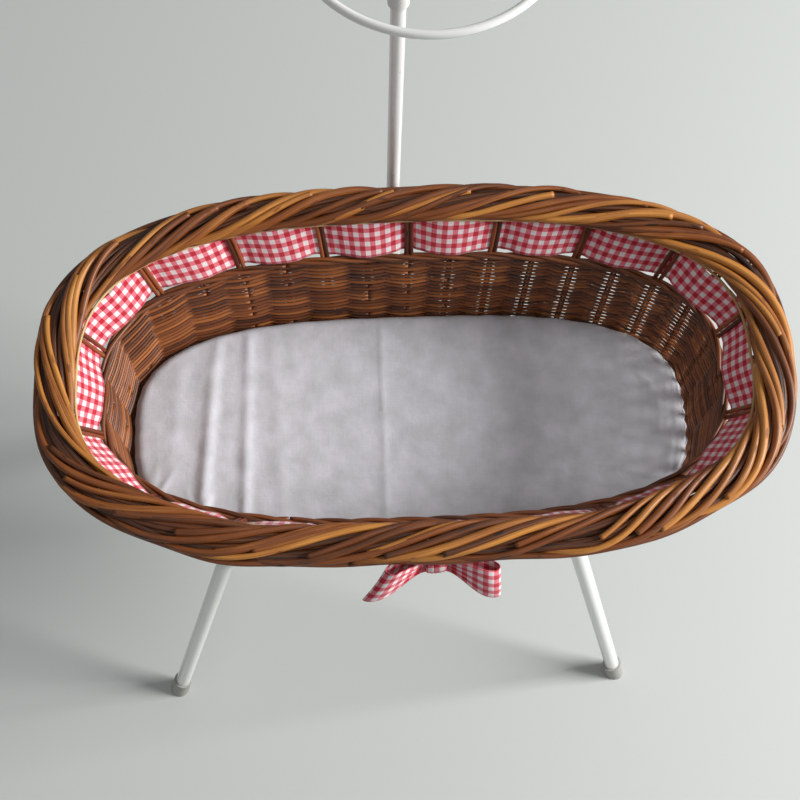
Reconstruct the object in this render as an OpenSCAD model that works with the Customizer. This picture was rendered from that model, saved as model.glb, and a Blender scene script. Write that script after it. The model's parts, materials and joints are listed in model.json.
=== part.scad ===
// Oval wicker bassinet that rests on a folding tube stand with a canopy pole.
// Millimetres, +Z up, floor at z = 0, the basket's long side along X, front towards -Y.

/* [Basket] */
// Overall length of the rim
rim_l = 860; // [820:5:880]
// Overall width of the rim
rim_w = 461; // [455:1:475]
// Height of the top of the rim above the floor
rim_top = 830; // [800:5:860]
// Height of the basket from its foot ring to the top of the rim
basket_h = 275; // [265:1:285]
// Width of the rolled border, seen from above
border_w = 40; // [36:1:42]
// Thickness of the rolled border, top to bottom
border_t = 26; // [22:1:28]
// Thickness of the woven wall
wall_t = 8; // [6:1:9]
// Pairs of upright stakes round the basket
stake_pairs = 36; // [24:2:40]
// Diameter of one stake
stake_d = 5; // [4:0.5:5]
// Width of the gingham ribbon
ribbon_w = 48; // [40:1:48]

/* [Mattress] */
// Length of the made-up mattress
mattress_l = 702; // [680:1:704]
// Width of the made-up mattress
mattress_w = 300; // [280:1:302]
// Thickness of the made-up mattress
mattress_t = 41; // [30:1:60]

/* [Stand] */
// Sideways offset of the stand from the middle of the basket
stand_x = -16; // [-30:1:30]
// Outer diameter of the frame and leg tubes
tube_d = 22; // [18:1:22]
// Wall thickness of the frame tubes
tube_wall = 1.5; // [1:0.1:2]
// Distance from the middle of the stand to each rail
rail_y = 138; // [137:1:142]
// Length of each rail
rail_l = 500; // [460:5:540]
// Distance from the middle of the stand to each cross tube
cross_x = 200; // [190:1:215]
// Half spread of a pair of legs at their pivot bar
leg_top_x = 224.5; // [220:0.5:232]
// Outward slope of the legs along X, per unit of height
leg_splay = 0.239; // [0.15:0.001:0.26]
// Outward slope of the legs along Y, per unit of height
leg_lean = 0.172; // [0.1:0.001:0.18]
// Bend radius where a leg meets its pivot bar
leg_bend = 45; // [36:1:50]

/* [Canopy pole] */
// Diameter of the lower pole
pole_d = 16; // [15:0.5:16]
// Diameter of the upper pole
arm_d = 13; // [12:0.5:13]
// Distance from the middle of the stand back to the pole
pole_y = 250; // [248:1:256]
// Height of the joint between the two pole halves
pole_joint_z = 1190; // [1150:5:1250]
// Height of the arm over the basket
arm_z = 1620; // [1560:5:1700]
// Bend radius of the arm
arm_bend = 130; // [100:5:150]
// Radius of the drape ring, to the middle of its wire
ring_r = 90; // [70:1:100]

/* [Hidden] */
$fn = 48;
rim_a = rim_l / 2;
rim_b = rim_w / 2;
tube_r = tube_d / 2;
pole_r = pole_d / 2;
arm_r = arm_d / 2;
run_gap = 0.05;             // radial running clearance of a turning bar or pole
rest_gap = 0.3;             // gap between soft or curved parts that rest on each other

// Insets are measured inwards from the outer edge of the rim, the same on all sides.
top_shape = 2.72;           // roundness exponent of the oval at the rim
foot_shape = 3.0;           // roundness exponent of the oval at the foot
stake_top_in = border_w - 3;
wale_in = 65;
foot_in = 73.8;
wale_r = 5.5;
hoop_r = 2;
foot_ring_h = 18;
foot_z = rim_top - basket_h;
wall_foot_z = foot_z + foot_ring_h;
wale_z = rim_top - 76.5;
wall_top_z = wale_z - wale_r;
hoop_z = rim_top - border_t + 2;
hoop_in = border_w + hoop_r + 0.9;
stake_foot_z = wale_z + 3;
stake_head_z = rim_top - border_t + 3;
stake_foot_in = wale_in - 1;
band_slope = (stake_foot_in - stake_top_in) / (stake_head_z - stake_foot_z);
border_z = rim_top - border_t / 2;
foot_ring_t = 16;
base_t = 10;
ring_steps = 2 * stake_pairs;
ribbon_t = 1.2;
ribbon_wave = 4.2;          // how far the ribbon swings in and out between the stakes

rail_z = foot_z - rest_gap - tube_r;
front_pivot_z = rail_z - tube_d - 4;
rear_pivot_z = front_pivot_z - tube_d - 4;
lean_angle = atan(leg_lean);
plane_splay = leg_splay * cos(lean_angle);
splay_angle = atan(plane_splay);
foot_r = 14;
foot_h = 42;
sole_t = 8;
bracket_x = 120;
bracket_l = 26;
bracket_r = 15.5;
stop_pin_r = 3;
cross_r = 10;

socket_r = 12;
socket_floor_z = 470;
socket_top_z = 600;
socket_floor_t = 6;
arm_tube_r = 9;
screw_r = 2.5;
screw_z = 575;
shank_l = 20;
knob_from = socket_r + 11;
knob_t = 11;
lower_pole_wall = 1.4;
insert_l = 80;
ferrule_r = 11;
ferrule_h = 60;
ring_wire_r = 3;
ring_y = pole_y - arm_bend - 120;

// ---------- the basket's oval ----------

// Distance factor of a rounded oval with exponent n in the direction th.
function oval_reach(th, n) = pow(pow(abs(cos(th)), n) + pow(abs(sin(th)), n), -1 / n);

// Point on the oval that lies inset from the rim's outer edge.
function oval_point(th, inset, n) =
    oval_reach(th, n) * [(rim_a - inset) * cos(th), (rim_b - inset) * sin(th)];

// Roundness exponent at a height on the basket.
function shape_at(z) =
    let (f = max(0, min(1, (z - foot_z) / basket_h)))
    foot_shape + (top_shape - foot_shape) * f;

// Running length round the stake line, as [length, angle] pairs for lookup().
line_points = [for (i = [0:360]) oval_point(i, wale_in, top_shape)];
line_table = [for (i = 0, s = 0; i <= 360;
    s = s + (i < 360 ? norm(line_points[i + 1] - line_points[i]) : 0), i = i + 1) [s, i]];
line_length = line_table[360][0];
function angle_at(fraction) = lookup(fraction * line_length, line_table);

// Closed ring swept round the basket: a section is a list of [inset, z], and swing moves it in
// and out by that much from one stake pair to the next.
module oval_ring(section, steps = ring_steps, swing = 0) {
    m = len(section);
    points = [for (i = [0:steps - 1])
        let (th = angle_at(i / steps), move = swing * cos(180 * stake_pairs * i / steps))
        for (s = section)
            let (p = oval_point(th, s[0] + move, shape_at(s[1])))
            [p[0], p[1], s[1]]];
    faces = [for (i = [0:steps - 1]) for (j = [0:m - 1])
        let (a = i * m + j, b = i * m + (j + 1) % m,
             c = ((i + 1) % steps) * m + (j + 1) % m, d = ((i + 1) % steps) * m + j)
        each [[a, b, c], [a, c, d]]];
    polyhedron(points, faces);
}

// Round section for oval_ring, with its half sizes across and up.
function round_section(inset, z, half_w, half_h, sides) =
    [for (k = [0:sides - 1]) [inset + half_w * cos(360 * k / sides), z + half_h * sin(360 * k / sides)]];

// Flat plate with the basket's oval outline.
module oval_plate(inset, n, z, t, steps = ring_steps)
    translate([0, 0, z])
        linear_extrude(t)
            polygon([for (i = [0:steps - 1]) oval_point(angle_at(i / steps), inset, n)]);

// Oval plate given by its own length and width.
module pad_plate(l, w, z, t, steps = ring_steps)
    translate([0, 0, z])
        linear_extrude(t)
            polygon([for (i = [0:steps - 1])
                let (th = angle_at(i / steps))
                oval_reach(th, foot_shape) * [l / 2 * cos(th), w / 2 * sin(th)]]);

// ---------- tubes ----------

module rod_x(r, l) rotate([0, 90, 0]) cylinder(r = r, h = l, center = true);

module rod_y(r, l) rotate([90, 0, 0]) cylinder(r = r, h = l, center = true);

module on_stand(y, z) translate([stand_x, y, z]) children();

// ---------- cradle ----------

module rail(side)
    color("white")
        on_stand(side * rail_y, rail_z)
            difference() {
                rod_x(tube_r, rail_l);
                rod_x(tube_r - tube_wall, rail_l + 2);
            }

module rail_end_plugs()
    color("gainsboro")
        for (sx = [-1, 1], sy = [-1, 1])
            on_stand(sy * rail_y, rail_z)
                translate([sx * rail_l / 2, 0, 0])
                    mirror([sx < 0 ? 1 : 0, 0, 0]) {
                        rotate([0, -90, 0]) cylinder(r = tube_r - tube_wall, h = 15);
                        rotate([0, 90, 0]) cylinder(r1 = tube_r, r2 = tube_r - 1.5, h = 3);
                    }

module cross_tube(side)
    color("white")
        on_stand(0, rail_z)
            difference() {
                translate([side * cross_x, 0, 0])
                    difference() {
                        rod_y(cross_r, 2 * rail_y);
                        rod_y(cross_r - tube_wall, 2 * rail_y + 2);
                    }
                for (sy = [-1, 1])
                    translate([0, sy * rail_y, 0]) rod_x(tube_r, rail_l);
            }

// Low rubber buttons on the cross tubes that sit inside the basket's foot ring.
module locating_buttons()
    color("dimgray")
        on_stand(0, rail_z)
            for (sx = [-1, 1], sy = [-1, 1])
                difference() {
                    translate([sx * cross_x, sy * 118, 0]) cylinder(r = 7, h = tube_r + 6);
                    translate([sx * cross_x, sy * 118, 0]) rod_y(cross_r, 40);
                }

// Bearing block under a rail: the pivot bar of a leg frame turns in its bore, and a lug
// beside it stops the frame when the legs are open. out is the way the stand's outside lies.
module bracket(sx, out, pivot_z) {
    drop = rail_z - pivot_z;
    color("silver")
        on_stand(out * rail_y, pivot_z)
            translate([sx * bracket_x, 0, 0])
                difference() {
                    union() {
                        rod_x(bracket_r, bracket_l);
                        translate([-bracket_l / 2, -bracket_r, 0])
                            cube([bracket_l, 2 * bracket_r, drop]);
                        translate([sx > 0 ? bracket_l / 2 : -bracket_l / 2 - 8,
                                   out > 0 ? bracket_r - 6 : -bracket_r - 5, stop_pin_r + 0.1])
                            cube([8, 11, 9]);
                    }
                    rod_x(tube_r + run_gap, bracket_l + 40);
                    translate([0, 0, drop]) rod_x(tube_r, bracket_l + 40);
                    translate([0, 0, drop - 6]) rod_y(2, 4 * bracket_r);
                }
}

// Screws through the brackets' cheeks, heads outside.
module bracket_screws()
    color("silver")
        for (sx = [-1, 1], sy = [-1, 1], cheek = [-1, 1])
            on_stand(sy * rail_y, rail_z - 6)
                translate([sx * bracket_x, cheek * bracket_r, 0])
                    rotate([-90 * cheek, 0, 0]) {
                        cylinder(r1 = 4, r2 = 3, h = 2.5);
                        translate([0, 0, -5]) cylinder(r = 2, h = 5);
                    }

// ---------- leg frames ----------

// Puts a leg frame, drawn upright about its pivot bar, at its place with its outward lean.
module leg_frame(out, pivot_z)
    on_stand(out * rail_y, pivot_z)
        rotate([out * lean_angle, 0, 0])
            children();

function corner_x(pivot_z) = leg_top_x + leg_splay * (front_pivot_z - pivot_z);
turn_angle = 90 - splay_angle;
tangent_l = leg_bend * tan(turn_angle / 2);
function bar_half(pivot_z) = corner_x(pivot_z) - tangent_l;
function leg_run(pivot_z) = pivot_z / (cos(splay_angle) * cos(lean_angle));

module pivot_bar(out, pivot_z)
    color("white")
        leg_frame(out, pivot_z)
            difference() {
                rod_x(tube_r, 2 * bar_half(pivot_z));
                rod_x(tube_r - tube_wall, 2 * bar_half(pivot_z) + 2);
            }

// Straight piece along a leg, measured from the corner where leg and bar would meet.
module along_leg(pivot_z, from, to, r)
    translate([corner_x(pivot_z), 0, 0])
        rotate([0, -splay_angle, 0])
            translate([0, 0, -to])
                cylinder(r = r, h = to - from);

// Bend from the end of the pivot bar, then the straight leg down to the sole of its foot.
module leg_half(pivot_z, r)
    translate([bar_half(pivot_z), 0, -leg_bend])
        rotate([90, 0, 0])
            rotate([0, 0, splay_angle]) {
                rotate_extrude(angle = turn_angle)
                    translate([leg_bend, 0]) circle(r = r);
                translate([leg_bend, 0, 0])
                    rotate([90, 0, 0])
                        cylinder(r = r, h = leg_run(pivot_z) - sole_t - tangent_l);
            }

module leg(sx, out, pivot_z)
    color("white")
        leg_frame(out, pivot_z)
            mirror([sx < 0 ? 1 : 0, 0, 0])
                difference() {
                    leg_half(pivot_z, tube_r);
                    leg_half(pivot_z, tube_r - tube_wall);
                }

// Rubber foot: a sleeve round the end of the leg, cut flat on the floor.
module leg_foot(sx, out, pivot_z)
    color("lightgray")
        difference() {
            leg_frame(out, pivot_z)
                mirror([sx < 0 ? 1 : 0, 0, 0])
                    difference() {
                        along_leg(pivot_z, leg_run(pivot_z) - foot_h, leg_run(pivot_z) + 20, foot_r);
                        along_leg(pivot_z, leg_run(pivot_z) - foot_h - 2,
                            leg_run(pivot_z) - sole_t, tube_r);
                    }
            translate([-500, -500, -100]) cube([1000, 1000, 100]);
        }

// Pins pressed into a pivot bar, under the brackets' stop lugs when the legs are open.
module stop_pins(out, pivot_z)
    color("silver")
        on_stand(out * rail_y, pivot_z)
            for (sx = [-1, 1])
                translate([sx * (bracket_x + bracket_l / 2 + 4), 0, 0])
                    rotate([-90 * out, 0, 0])
                        translate([0, 0, tube_r - tube_wall])
                            cylinder(r = stop_pin_r, h = tube_wall + 9);

// ---------- canopy pole ----------

module pole_outrigger()
    color("white")
        on_stand(0, rail_z)
            difference() {
                translate([0, (rail_y + pole_y) / 2, 0])
                    difference() {
                        rod_y(arm_tube_r, pole_y - rail_y);
                        rod_y(arm_tube_r - tube_wall, pole_y - rail_y + 2);
                    }
                translate([0, rail_y, 0]) rod_x(tube_r, 100);
                translate([0, pole_y, -50]) cylinder(r = socket_r, h = 100);
            }

module at_pole(z) translate([stand_x, pole_y, z]) children();

module pole_socket()
    color("white")
        difference() {
            at_pole(socket_floor_z) cylinder(r = socket_r, h = socket_top_z - socket_floor_z);
            at_pole(socket_floor_z + socket_floor_t)
                cylinder(r = pole_r + run_gap, h = socket_top_z - socket_floor_z);
            at_pole(screw_z) rotate([0, -90, 0]) cylinder(r = screw_r + run_gap, h = 30);
        }

// Threaded boss welded to the left side of the socket.
module socket_nut()
    color("silver")
        difference() {
            at_pole(screw_z) rotate([0, -90, 0]) cylinder(r = 7, h = socket_r + 8);
            at_pole(screw_z) rotate([0, -90, 0]) cylinder(r = screw_r + run_gap, h = 30);
            at_pole(screw_z - 20) cylinder(r = socket_r, h = 40);
        }

module thumbscrew_shank()
    color("silver")
        at_pole(screw_z)
            rotate([0, -90, 0])
                translate([0, 0, pole_r + rest_gap])
                    cylinder(r = screw_r, h = shank_l);

// Five-lobed knob on the end of the screw.
module thumbscrew_knob()
    color("dimgray")
        at_pole(screw_z)
            rotate([0, -90, 0])
                translate([0, 0, knob_from])
                    difference() {
                        linear_extrude(knob_t)
                            union() {
                                circle(r = 9.5);
                                for (k = [0:4])
                                    rotate(72 * k + 9) translate([8.5, 0]) circle(r = 4.2);
                            }
                        translate([0, 0, -1])
                            cylinder(r = screw_r, h = pole_r + rest_gap + shank_l - knob_from + 1);
                    }

module lower_pole()
    color("white")
        difference() {
            at_pole(socket_floor_z + socket_floor_t + rest_gap)
                cylinder(r = pole_r, h = pole_joint_z - socket_floor_z - socket_floor_t - rest_gap);
            at_pole(socket_floor_z)
                cylinder(r = pole_r - lower_pole_wall, h = pole_joint_z);
        }

// Sleeve that covers the joint and guides the upper pole.
module pole_ferrule()
    color("gainsboro")
        difference() {
            at_pole(pole_joint_z - ferrule_h / 2) cylinder(r = ferrule_r, h = ferrule_h);
            at_pole(pole_joint_z - ferrule_h) cylinder(r = pole_r, h = ferrule_h);
            at_pole(pole_joint_z - 1) cylinder(r = arm_r + 0.1, h = ferrule_h);
        }

// Pin across the lower pole on which the upper pole stands.
module pole_stop_pin()
    color("silver")
        at_pole(pole_joint_z - insert_l - 2.3)
            rod_x(2, 2 * (pole_r - lower_pole_wall));

module upper_pole()
    color("white")
        difference() {
            at_pole(pole_joint_z - insert_l)
                cylinder(r = arm_r, h = arm_z - arm_bend - pole_joint_z + insert_l);
            at_pole(pole_joint_z - insert_l - 1)
                cylinder(r = arm_r - 1.2, h = arm_z);
        }

// Quarter bend and straight end of the arm, pointing towards the front.
module canopy_arm()
    color("white") {
        translate([stand_x, pole_y - arm_bend, arm_z - arm_bend])
            rotate([90, 0, 90])
                rotate_extrude(angle = 90)
                    translate([arm_bend, 0])
                        difference() {
                            circle(r = arm_r);
                            circle(r = arm_r - 1.2);
                        }
        translate([stand_x, pole_y - arm_bend, arm_z])
            rotate([90, 0, 0])
                difference() {
                    cylinder(r = arm_r, h = pole_y - arm_bend - ring_y - ring_r - 10);
                    translate([0, 0, -1]) cylinder(r = arm_r - 1.2, h = 200);
                }
    }

// Cap on the arm's end that grips the wire of the ring.
module arm_collar()
    color("gainsboro")
        difference() {
            union() {
                translate([stand_x, ring_y + ring_r + 24, arm_z])
                    rotate([90, 0, 0]) cylinder(r = arm_r + 2, h = 32);
                translate([stand_x, ring_y + ring_r - 8, arm_z]) sphere(r = arm_r + 2);
            }
            translate([stand_x, ring_y + ring_r + 60, arm_z])
                rotate([90, 0, 0]) cylinder(r = arm_r, h = 50);
            ring_solid();
        }

module ring_solid()
    translate([stand_x, ring_y, arm_z])
        rotate_extrude($fn = 96)
            translate([ring_r, 0]) circle(r = ring_wire_r);

module drape_ring() color("white") ring_solid();

// ---------- basket ----------

module basket_base()
    color("peru")
        oval_plate(foot_in + foot_ring_t / 2, foot_shape, wall_foot_z - base_t, base_t);

module foot_ring()
    color("saddlebrown")
        difference() {
            oval_plate(foot_in - foot_ring_t / 2, foot_shape, foot_z, foot_ring_h);
            oval_plate(foot_in + foot_ring_t / 2, foot_shape, foot_z - 1, foot_ring_h + 2);
        }

// The woven side, thin and open at the top.
module side_weave()
    color("peru")
        oval_ring([
            [foot_in - wall_t / 2, wall_foot_z], [foot_in + wall_t / 2, wall_foot_z],
            [wale_in + wall_t / 2, wall_top_z], [wale_in - wall_t / 2, wall_top_z]]);

module top_wale() color("saddlebrown") oval_ring(round_section(wale_in, wale_z, wale_r, wale_r, 8));

// Pairs of upright stakes across the open band, from the wale up into the border.
module band_stakes()
    color("brown")
        for (k = [0:stake_pairs - 1], side = [-1, 1]) {
            th = angle_at(k / stake_pairs);
            low = oval_point(th, stake_foot_in, shape_at(stake_foot_z));
            high = oval_point(th, stake_top_in, shape_at(stake_head_z));
            along = oval_point(th + 0.5, wale_in, top_shape) - oval_point(th - 0.5, wale_in, top_shape);
            shift = side * (stake_d / 2 + 0.2) * along / norm(along);
            rod_between([low[0] + shift[0], low[1] + shift[1], stake_foot_z],
                        [high[0] + shift[0], high[1] + shift[1], stake_head_z], stake_d / 2);
        }

module rod_between(p, q, r) {
    v = q - p;
    translate(p)
        rotate([0, acos(v[2] / norm(v)), atan2(v[1], v[0])])
            cylinder(r = r, h = norm(v), $fn = 16);
}

// Thin hoop lashed inside the stakes, just under the border.
module hoop_rod() color("khaki") oval_ring(round_section(hoop_in, hoop_z, hoop_r, hoop_r, 6));

module rolled_border()
    color("sienna")
        oval_ring(round_section(border_w / 2, border_z, border_w / 2, border_t / 2, 12));

// Gingham ribbon threaded in front of one stake pair and behind the next, along their lean.
module gingham_ribbon() {
    flare = atan(band_slope);
    low_z = wale_z + wale_r + 1.5;
    high_z = low_z + ribbon_w * cos(flare);
    low_in = stake_foot_in - (low_z - stake_foot_z) * band_slope - ribbon_t / 2;
    high_in = low_in - ribbon_w * sin(flare);
    color("crimson")
        oval_ring([
            [low_in, low_z], [low_in + ribbon_t, low_z],
            [high_in + ribbon_t, high_z], [high_in, high_z]],
            steps = 4 * stake_pairs, swing = ribbon_wave);
}

// ---------- bow under the front of the rim ----------

bow_x = 12;
bow_y = -rim_b + 3;
bow_z = rim_top - 38;
knot_half = 12;
knot_r = 6;

// Ends of the ribbon, brought out under the border to the knot.
module bow_strip()
    color("crimson")
        hull() {
            translate([bow_x - 7, -rim_b + stake_top_in + 3.5, bow_z - 6]) cube([14, 1, 3]);
            translate([bow_x - 7, bow_y + knot_r + 0.5, bow_z - 1]) cube([14, 1, 3]);
        }

module bow_knot()
    color("crimson")
        translate([bow_x, bow_y, bow_z])
            hull()
                for (sx = [-1, 1], sz = [-1, 1])
                    translate([sx * (knot_half - knot_r), 0, sz * 7]) sphere(r = knot_r, $fn = 16);

// One loop of the bow: narrow at the knot, as wide as the ribbon at its drooping end.
module bow_loop(sx)
    color("crimson")
        translate([bow_x + sx * (knot_half + 0.4), bow_y, bow_z])
            mirror([sx < 0 ? 1 : 0, 0, 0])
                hull() {
                    translate([0, -5, -8]) cube([2, 10, 16]);
                    translate([56, -34.5, -30]) cube([8, 24, ribbon_w]);
                }

// ---------- bedding ----------

mattress_z = wall_foot_z + 0.7;

module mattress_core()
    color("ivory")
        pad_plate(mattress_l - 2, mattress_w - 2, mattress_z, mattress_t - 1);

// Thin sheet over the top and down the sides.
module fitted_sheet()
    color("whitesmoke")
        difference() {
            pad_plate(mattress_l, mattress_w, mattress_z, mattress_t);
            pad_plate(mattress_l - 2, mattress_w - 2, mattress_z - 1, mattress_t);
        }

rail(-1);  // front_rail
rail(1);  // rear_rail
rail_end_plugs();
cross_tube(-1);  // left_cross_tube
cross_tube(1);  // right_cross_tube
locating_buttons();
bracket(-1, -1, front_pivot_z);  // front_left_bracket
bracket(1, -1, front_pivot_z);  // front_right_bracket
bracket(-1, 1, rear_pivot_z);  // rear_left_bracket
bracket(1, 1, rear_pivot_z);  // rear_right_bracket
bracket_screws();
pole_outrigger();
pole_socket();
socket_nut();
pivot_bar(-1, front_pivot_z);  // front_pivot_bar
leg(-1, -1, front_pivot_z);  // front_left_leg
leg(1, -1, front_pivot_z);  // front_right_leg
stop_pins(-1, front_pivot_z);  // front_stop_pins
leg_foot(-1, -1, front_pivot_z);  // front_left_foot
leg_foot(1, -1, front_pivot_z);  // front_right_foot
pivot_bar(1, rear_pivot_z);  // rear_pivot_bar
leg(-1, 1, rear_pivot_z);  // rear_left_leg
leg(1, 1, rear_pivot_z);  // rear_right_leg
stop_pins(1, rear_pivot_z);  // rear_stop_pins
leg_foot(-1, 1, rear_pivot_z);  // rear_left_foot
leg_foot(1, 1, rear_pivot_z);  // rear_right_foot
lower_pole();
pole_ferrule();
pole_stop_pin();
upper_pole();
canopy_arm();
arm_collar();
drape_ring();
thumbscrew_shank();
thumbscrew_knob();
basket_base();
foot_ring();
side_weave();
top_wale();
band_stakes();
hoop_rod();
rolled_border();
gingham_ribbon();
bow_strip();
bow_knot();
bow_loop(-1);  // bow_left_loop
bow_loop(1);  // bow_right_loop
mattress_core();
fitted_sheet();
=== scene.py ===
"""Woven willow bassinet with a gingham band, on a folding tube stand with a canopy pole.

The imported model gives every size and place. The woven, cloth and padded pieces are built
here round it. The tubes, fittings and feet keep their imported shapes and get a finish.
"""

import json
import logging
import math
import random
from collections.abc import Iterator
from dataclasses import dataclass, field
from enum import Enum
from typing import Any
import bpy
import numpy as np
from mathutils import Matrix, Vector, noise


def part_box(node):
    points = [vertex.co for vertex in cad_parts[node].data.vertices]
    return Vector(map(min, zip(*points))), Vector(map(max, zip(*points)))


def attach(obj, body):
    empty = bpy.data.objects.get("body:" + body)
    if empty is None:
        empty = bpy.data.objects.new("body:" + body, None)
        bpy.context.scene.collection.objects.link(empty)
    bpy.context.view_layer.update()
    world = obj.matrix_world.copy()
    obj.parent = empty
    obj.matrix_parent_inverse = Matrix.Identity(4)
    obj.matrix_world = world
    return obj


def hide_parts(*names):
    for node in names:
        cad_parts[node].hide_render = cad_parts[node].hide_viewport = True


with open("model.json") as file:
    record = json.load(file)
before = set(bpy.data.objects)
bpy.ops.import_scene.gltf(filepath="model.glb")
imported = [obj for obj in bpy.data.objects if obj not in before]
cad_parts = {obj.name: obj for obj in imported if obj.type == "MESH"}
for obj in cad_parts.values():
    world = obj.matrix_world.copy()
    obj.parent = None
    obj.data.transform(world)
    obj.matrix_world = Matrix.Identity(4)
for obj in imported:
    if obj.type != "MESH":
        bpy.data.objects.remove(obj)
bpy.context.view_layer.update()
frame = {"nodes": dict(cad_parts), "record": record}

LOG = logging.getLogger("bassinet")
Array = np.ndarray
Colour = tuple[float, float, float, float]
Socket = bpy.types.NodeSocket
Node = bpy.types.Node
Object = bpy.types.Object
UP = np.array([0.0, 0.0, 1.0])
CLEARANCE = 0.0001


class Body(Enum):
    """The moving bodies that built pieces ride on."""

    BASKET = "basket"
    BEDDING = "bedding"


class Slot(Enum):
    """The record's material slots."""

    WHITE_PAINT = "white_paint"
    WHITE_PLASTIC = "white_plastic"
    ZINC_PLATE = "zinc_plate"
    DARK_RUBBER = "dark_rubber"
    FOOT_RUBBER = "foot_rubber"
    WILLOW_WEAVE = "willow_weave"
    WILLOW_BORDER = "willow_border"
    WILLOW_STAKES = "willow_stakes"
    PALE_WILLOW = "pale_willow"
    GINGHAM = "gingham"
    TICKING = "mattress_ticking"
    COTTON = "cotton_sheet"


class Hand(Enum):
    """Which side of the bow a loop lies on."""

    LEFT = -1
    RIGHT = 1


def tint(red: int, green: int, blue: int) -> Colour:
    """Scene-linear colour of a display colour.

    Args:
        red: Red from 0 to 255.
        green: Green from 0 to 255.
        blue: Blue from 0 to 255.

    Returns:
        The colour with full opacity.
    """
    shares = (value / 255 for value in (red, green, blue))
    linear = [s / 12.92 if s <= 0.04045 else ((s + 0.055) / 1.055) ** 2.4 for s in shares]
    return (*linear, 1.0)


# ---------- node trees ----------


@dataclass
class Graph:
    """Adds linked nodes to one node tree."""

    tree: bpy.types.NodeTree

    def add(self, kind: str, inputs: dict | None = None, **settings: Any) -> Node:
        """Adds a node.

        Args:
            kind: The node's type name.
            inputs: Values or sockets for the node's inputs, by name or number.
            **settings: The node's own properties.

        Returns:
            The new node.
        """
        node = self.tree.nodes.new(kind)
        for key, value in settings.items():
            setattr(node, key, value)
        for key, value in (inputs or {}).items():
            self.feed(node.inputs[key], value)
        return node

    def feed(self, socket: Socket, value: Any) -> None:
        """Links a socket to an input, or sets the input's own value.

        Args:
            socket: The input.
            value: A socket, or a plain value.
        """
        if isinstance(value, Socket):
            self.tree.links.new(value, socket)
        else:
            socket.default_value = value

    def math(self, operation: str, *values: Any, clamp: bool = False) -> Socket:
        """Result of a Math node on the values."""
        settings = {"operation": operation, "use_clamp": clamp}
        return self.add("ShaderNodeMath", dict(enumerate(values)), **settings).outputs[0]

    def times(self, first: Any, second: Any, clamp: bool = False) -> Socket:
        """Product of two values."""
        return self.math("MULTIPLY", first, second, clamp=clamp)

    def scaled(self, value: Any, factor: Any, base: Any, clamp: bool = False) -> Socket:
        """A value times a factor, plus a base."""
        return self.math("MULTIPLY_ADD", value, factor, base, clamp=clamp)

    def attribute(self, name: str, output: str = "Fac") -> Socket:
        """Output of an Attribute node that reads a mesh attribute."""
        return self.add("ShaderNodeAttribute", attribute_name=name).outputs[output]

    def stretched(self, vector: Socket, scale: tuple) -> Socket:
        """The vector multiplied part by part."""
        node = self.add("ShaderNodeVectorMath", {0: vector, 1: scale}, operation="MULTIPLY")
        return node.outputs[0]

    def noise(
        self, vector: Socket, scale: Any, detail: float = 3, roughness: float = 0.55
    ) -> Socket:
        """Value of a Noise texture at the vector."""
        inputs = {"Vector": vector, "Scale": scale, "Detail": detail, "Roughness": roughness}
        return self.add("ShaderNodeTexNoise", inputs).outputs["Fac"]

    def remap(self, value: Socket, *limits: float) -> Socket:
        """The value taken from the first two limits to the last two, and held there."""
        inputs = {"Value": value, **dict(zip(("From Min", "From Max", "To Min", "To Max"), limits))}
        return self.add("ShaderNodeMapRange", inputs).outputs["Result"]

    def blend(self, share: Any, first: Any, second: Any, kind: str = "MIX") -> Socket:
        """Mix of two colours by a share from 0 to 1."""
        inputs = {0: share, 6: first, 7: second}
        return self.add("ShaderNodeMix", inputs, data_type="RGBA", blend_type=kind).outputs[2]

    def ramp(self, value: Socket, stops: list[tuple[float, Colour]]) -> Socket:
        """Colour of a ramp through the stops.

        Args:
            value: Where to read the ramp, from 0 to 1.
            stops: Places and colours, in order.

        Returns:
            The colour.
        """
        node = self.add("ShaderNodeValToRGB", {"Fac": value})
        while len(node.color_ramp.elements) < len(stops):
            node.color_ramp.elements.new(0.5)
        for element, (place, colour) in zip(node.color_ramp.elements, stops):
            element.position = place
            element.color = colour
        return node.outputs["Color"]

    def bump(self, height: Socket, depth: float, strength: float = 1.0) -> Socket:
        """Normal of a Bump node whose full height is depth metres."""
        inputs = {"Height": height, "Distance": depth, "Strength": strength}
        return self.add("ShaderNodeBump", inputs).outputs["Normal"]


# ---------- effects that several finishes share ----------


class Effect:
    """A shader node group, built once and placed in each finish with its own values."""

    name = ""
    inputs: dict[str, float] = {}
    outputs: tuple[str, ...] = ()

    @classmethod
    def build(cls, graph: Graph, given: Any) -> dict[str, Socket]:
        """Adds the group's nodes.

        Args:
            graph: The group's own tree.
            given: The sockets of the group's inputs, by name.

        Returns:
            The sockets for the group's outputs, by name.
        """
        raise NotImplementedError

    @classmethod
    def group(cls) -> bpy.types.NodeTree:
        """The node group, built on its first use.

        Returns:
            The group.
        """
        made = bpy.data.node_groups.get(cls.name)
        if made is None:
            made = bpy.data.node_groups.new(cls.name, "ShaderNodeTree")
            kind = "NodeSocketFloat"
            for label, value in cls.inputs.items():
                socket = made.interface.new_socket(label, in_out="INPUT", socket_type=kind)
                socket.default_value = value
            for label in cls.outputs:
                made.interface.new_socket(label, in_out="OUTPUT", socket_type=kind)
            graph = Graph(made)
            given = graph.add("NodeGroupInput").outputs
            graph.add("NodeGroupOutput", cls.build(graph, given))
        return made

    @classmethod
    def place(cls, graph: Graph, **values: Any) -> Any:
        """Outputs of the group, placed in a tree with these values for its inputs."""
        named = {key.replace("_", " ").title(): value for key, value in values.items()}
        return graph.add("ShaderNodeGroup", named, node_tree=cls.group()).outputs


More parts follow.
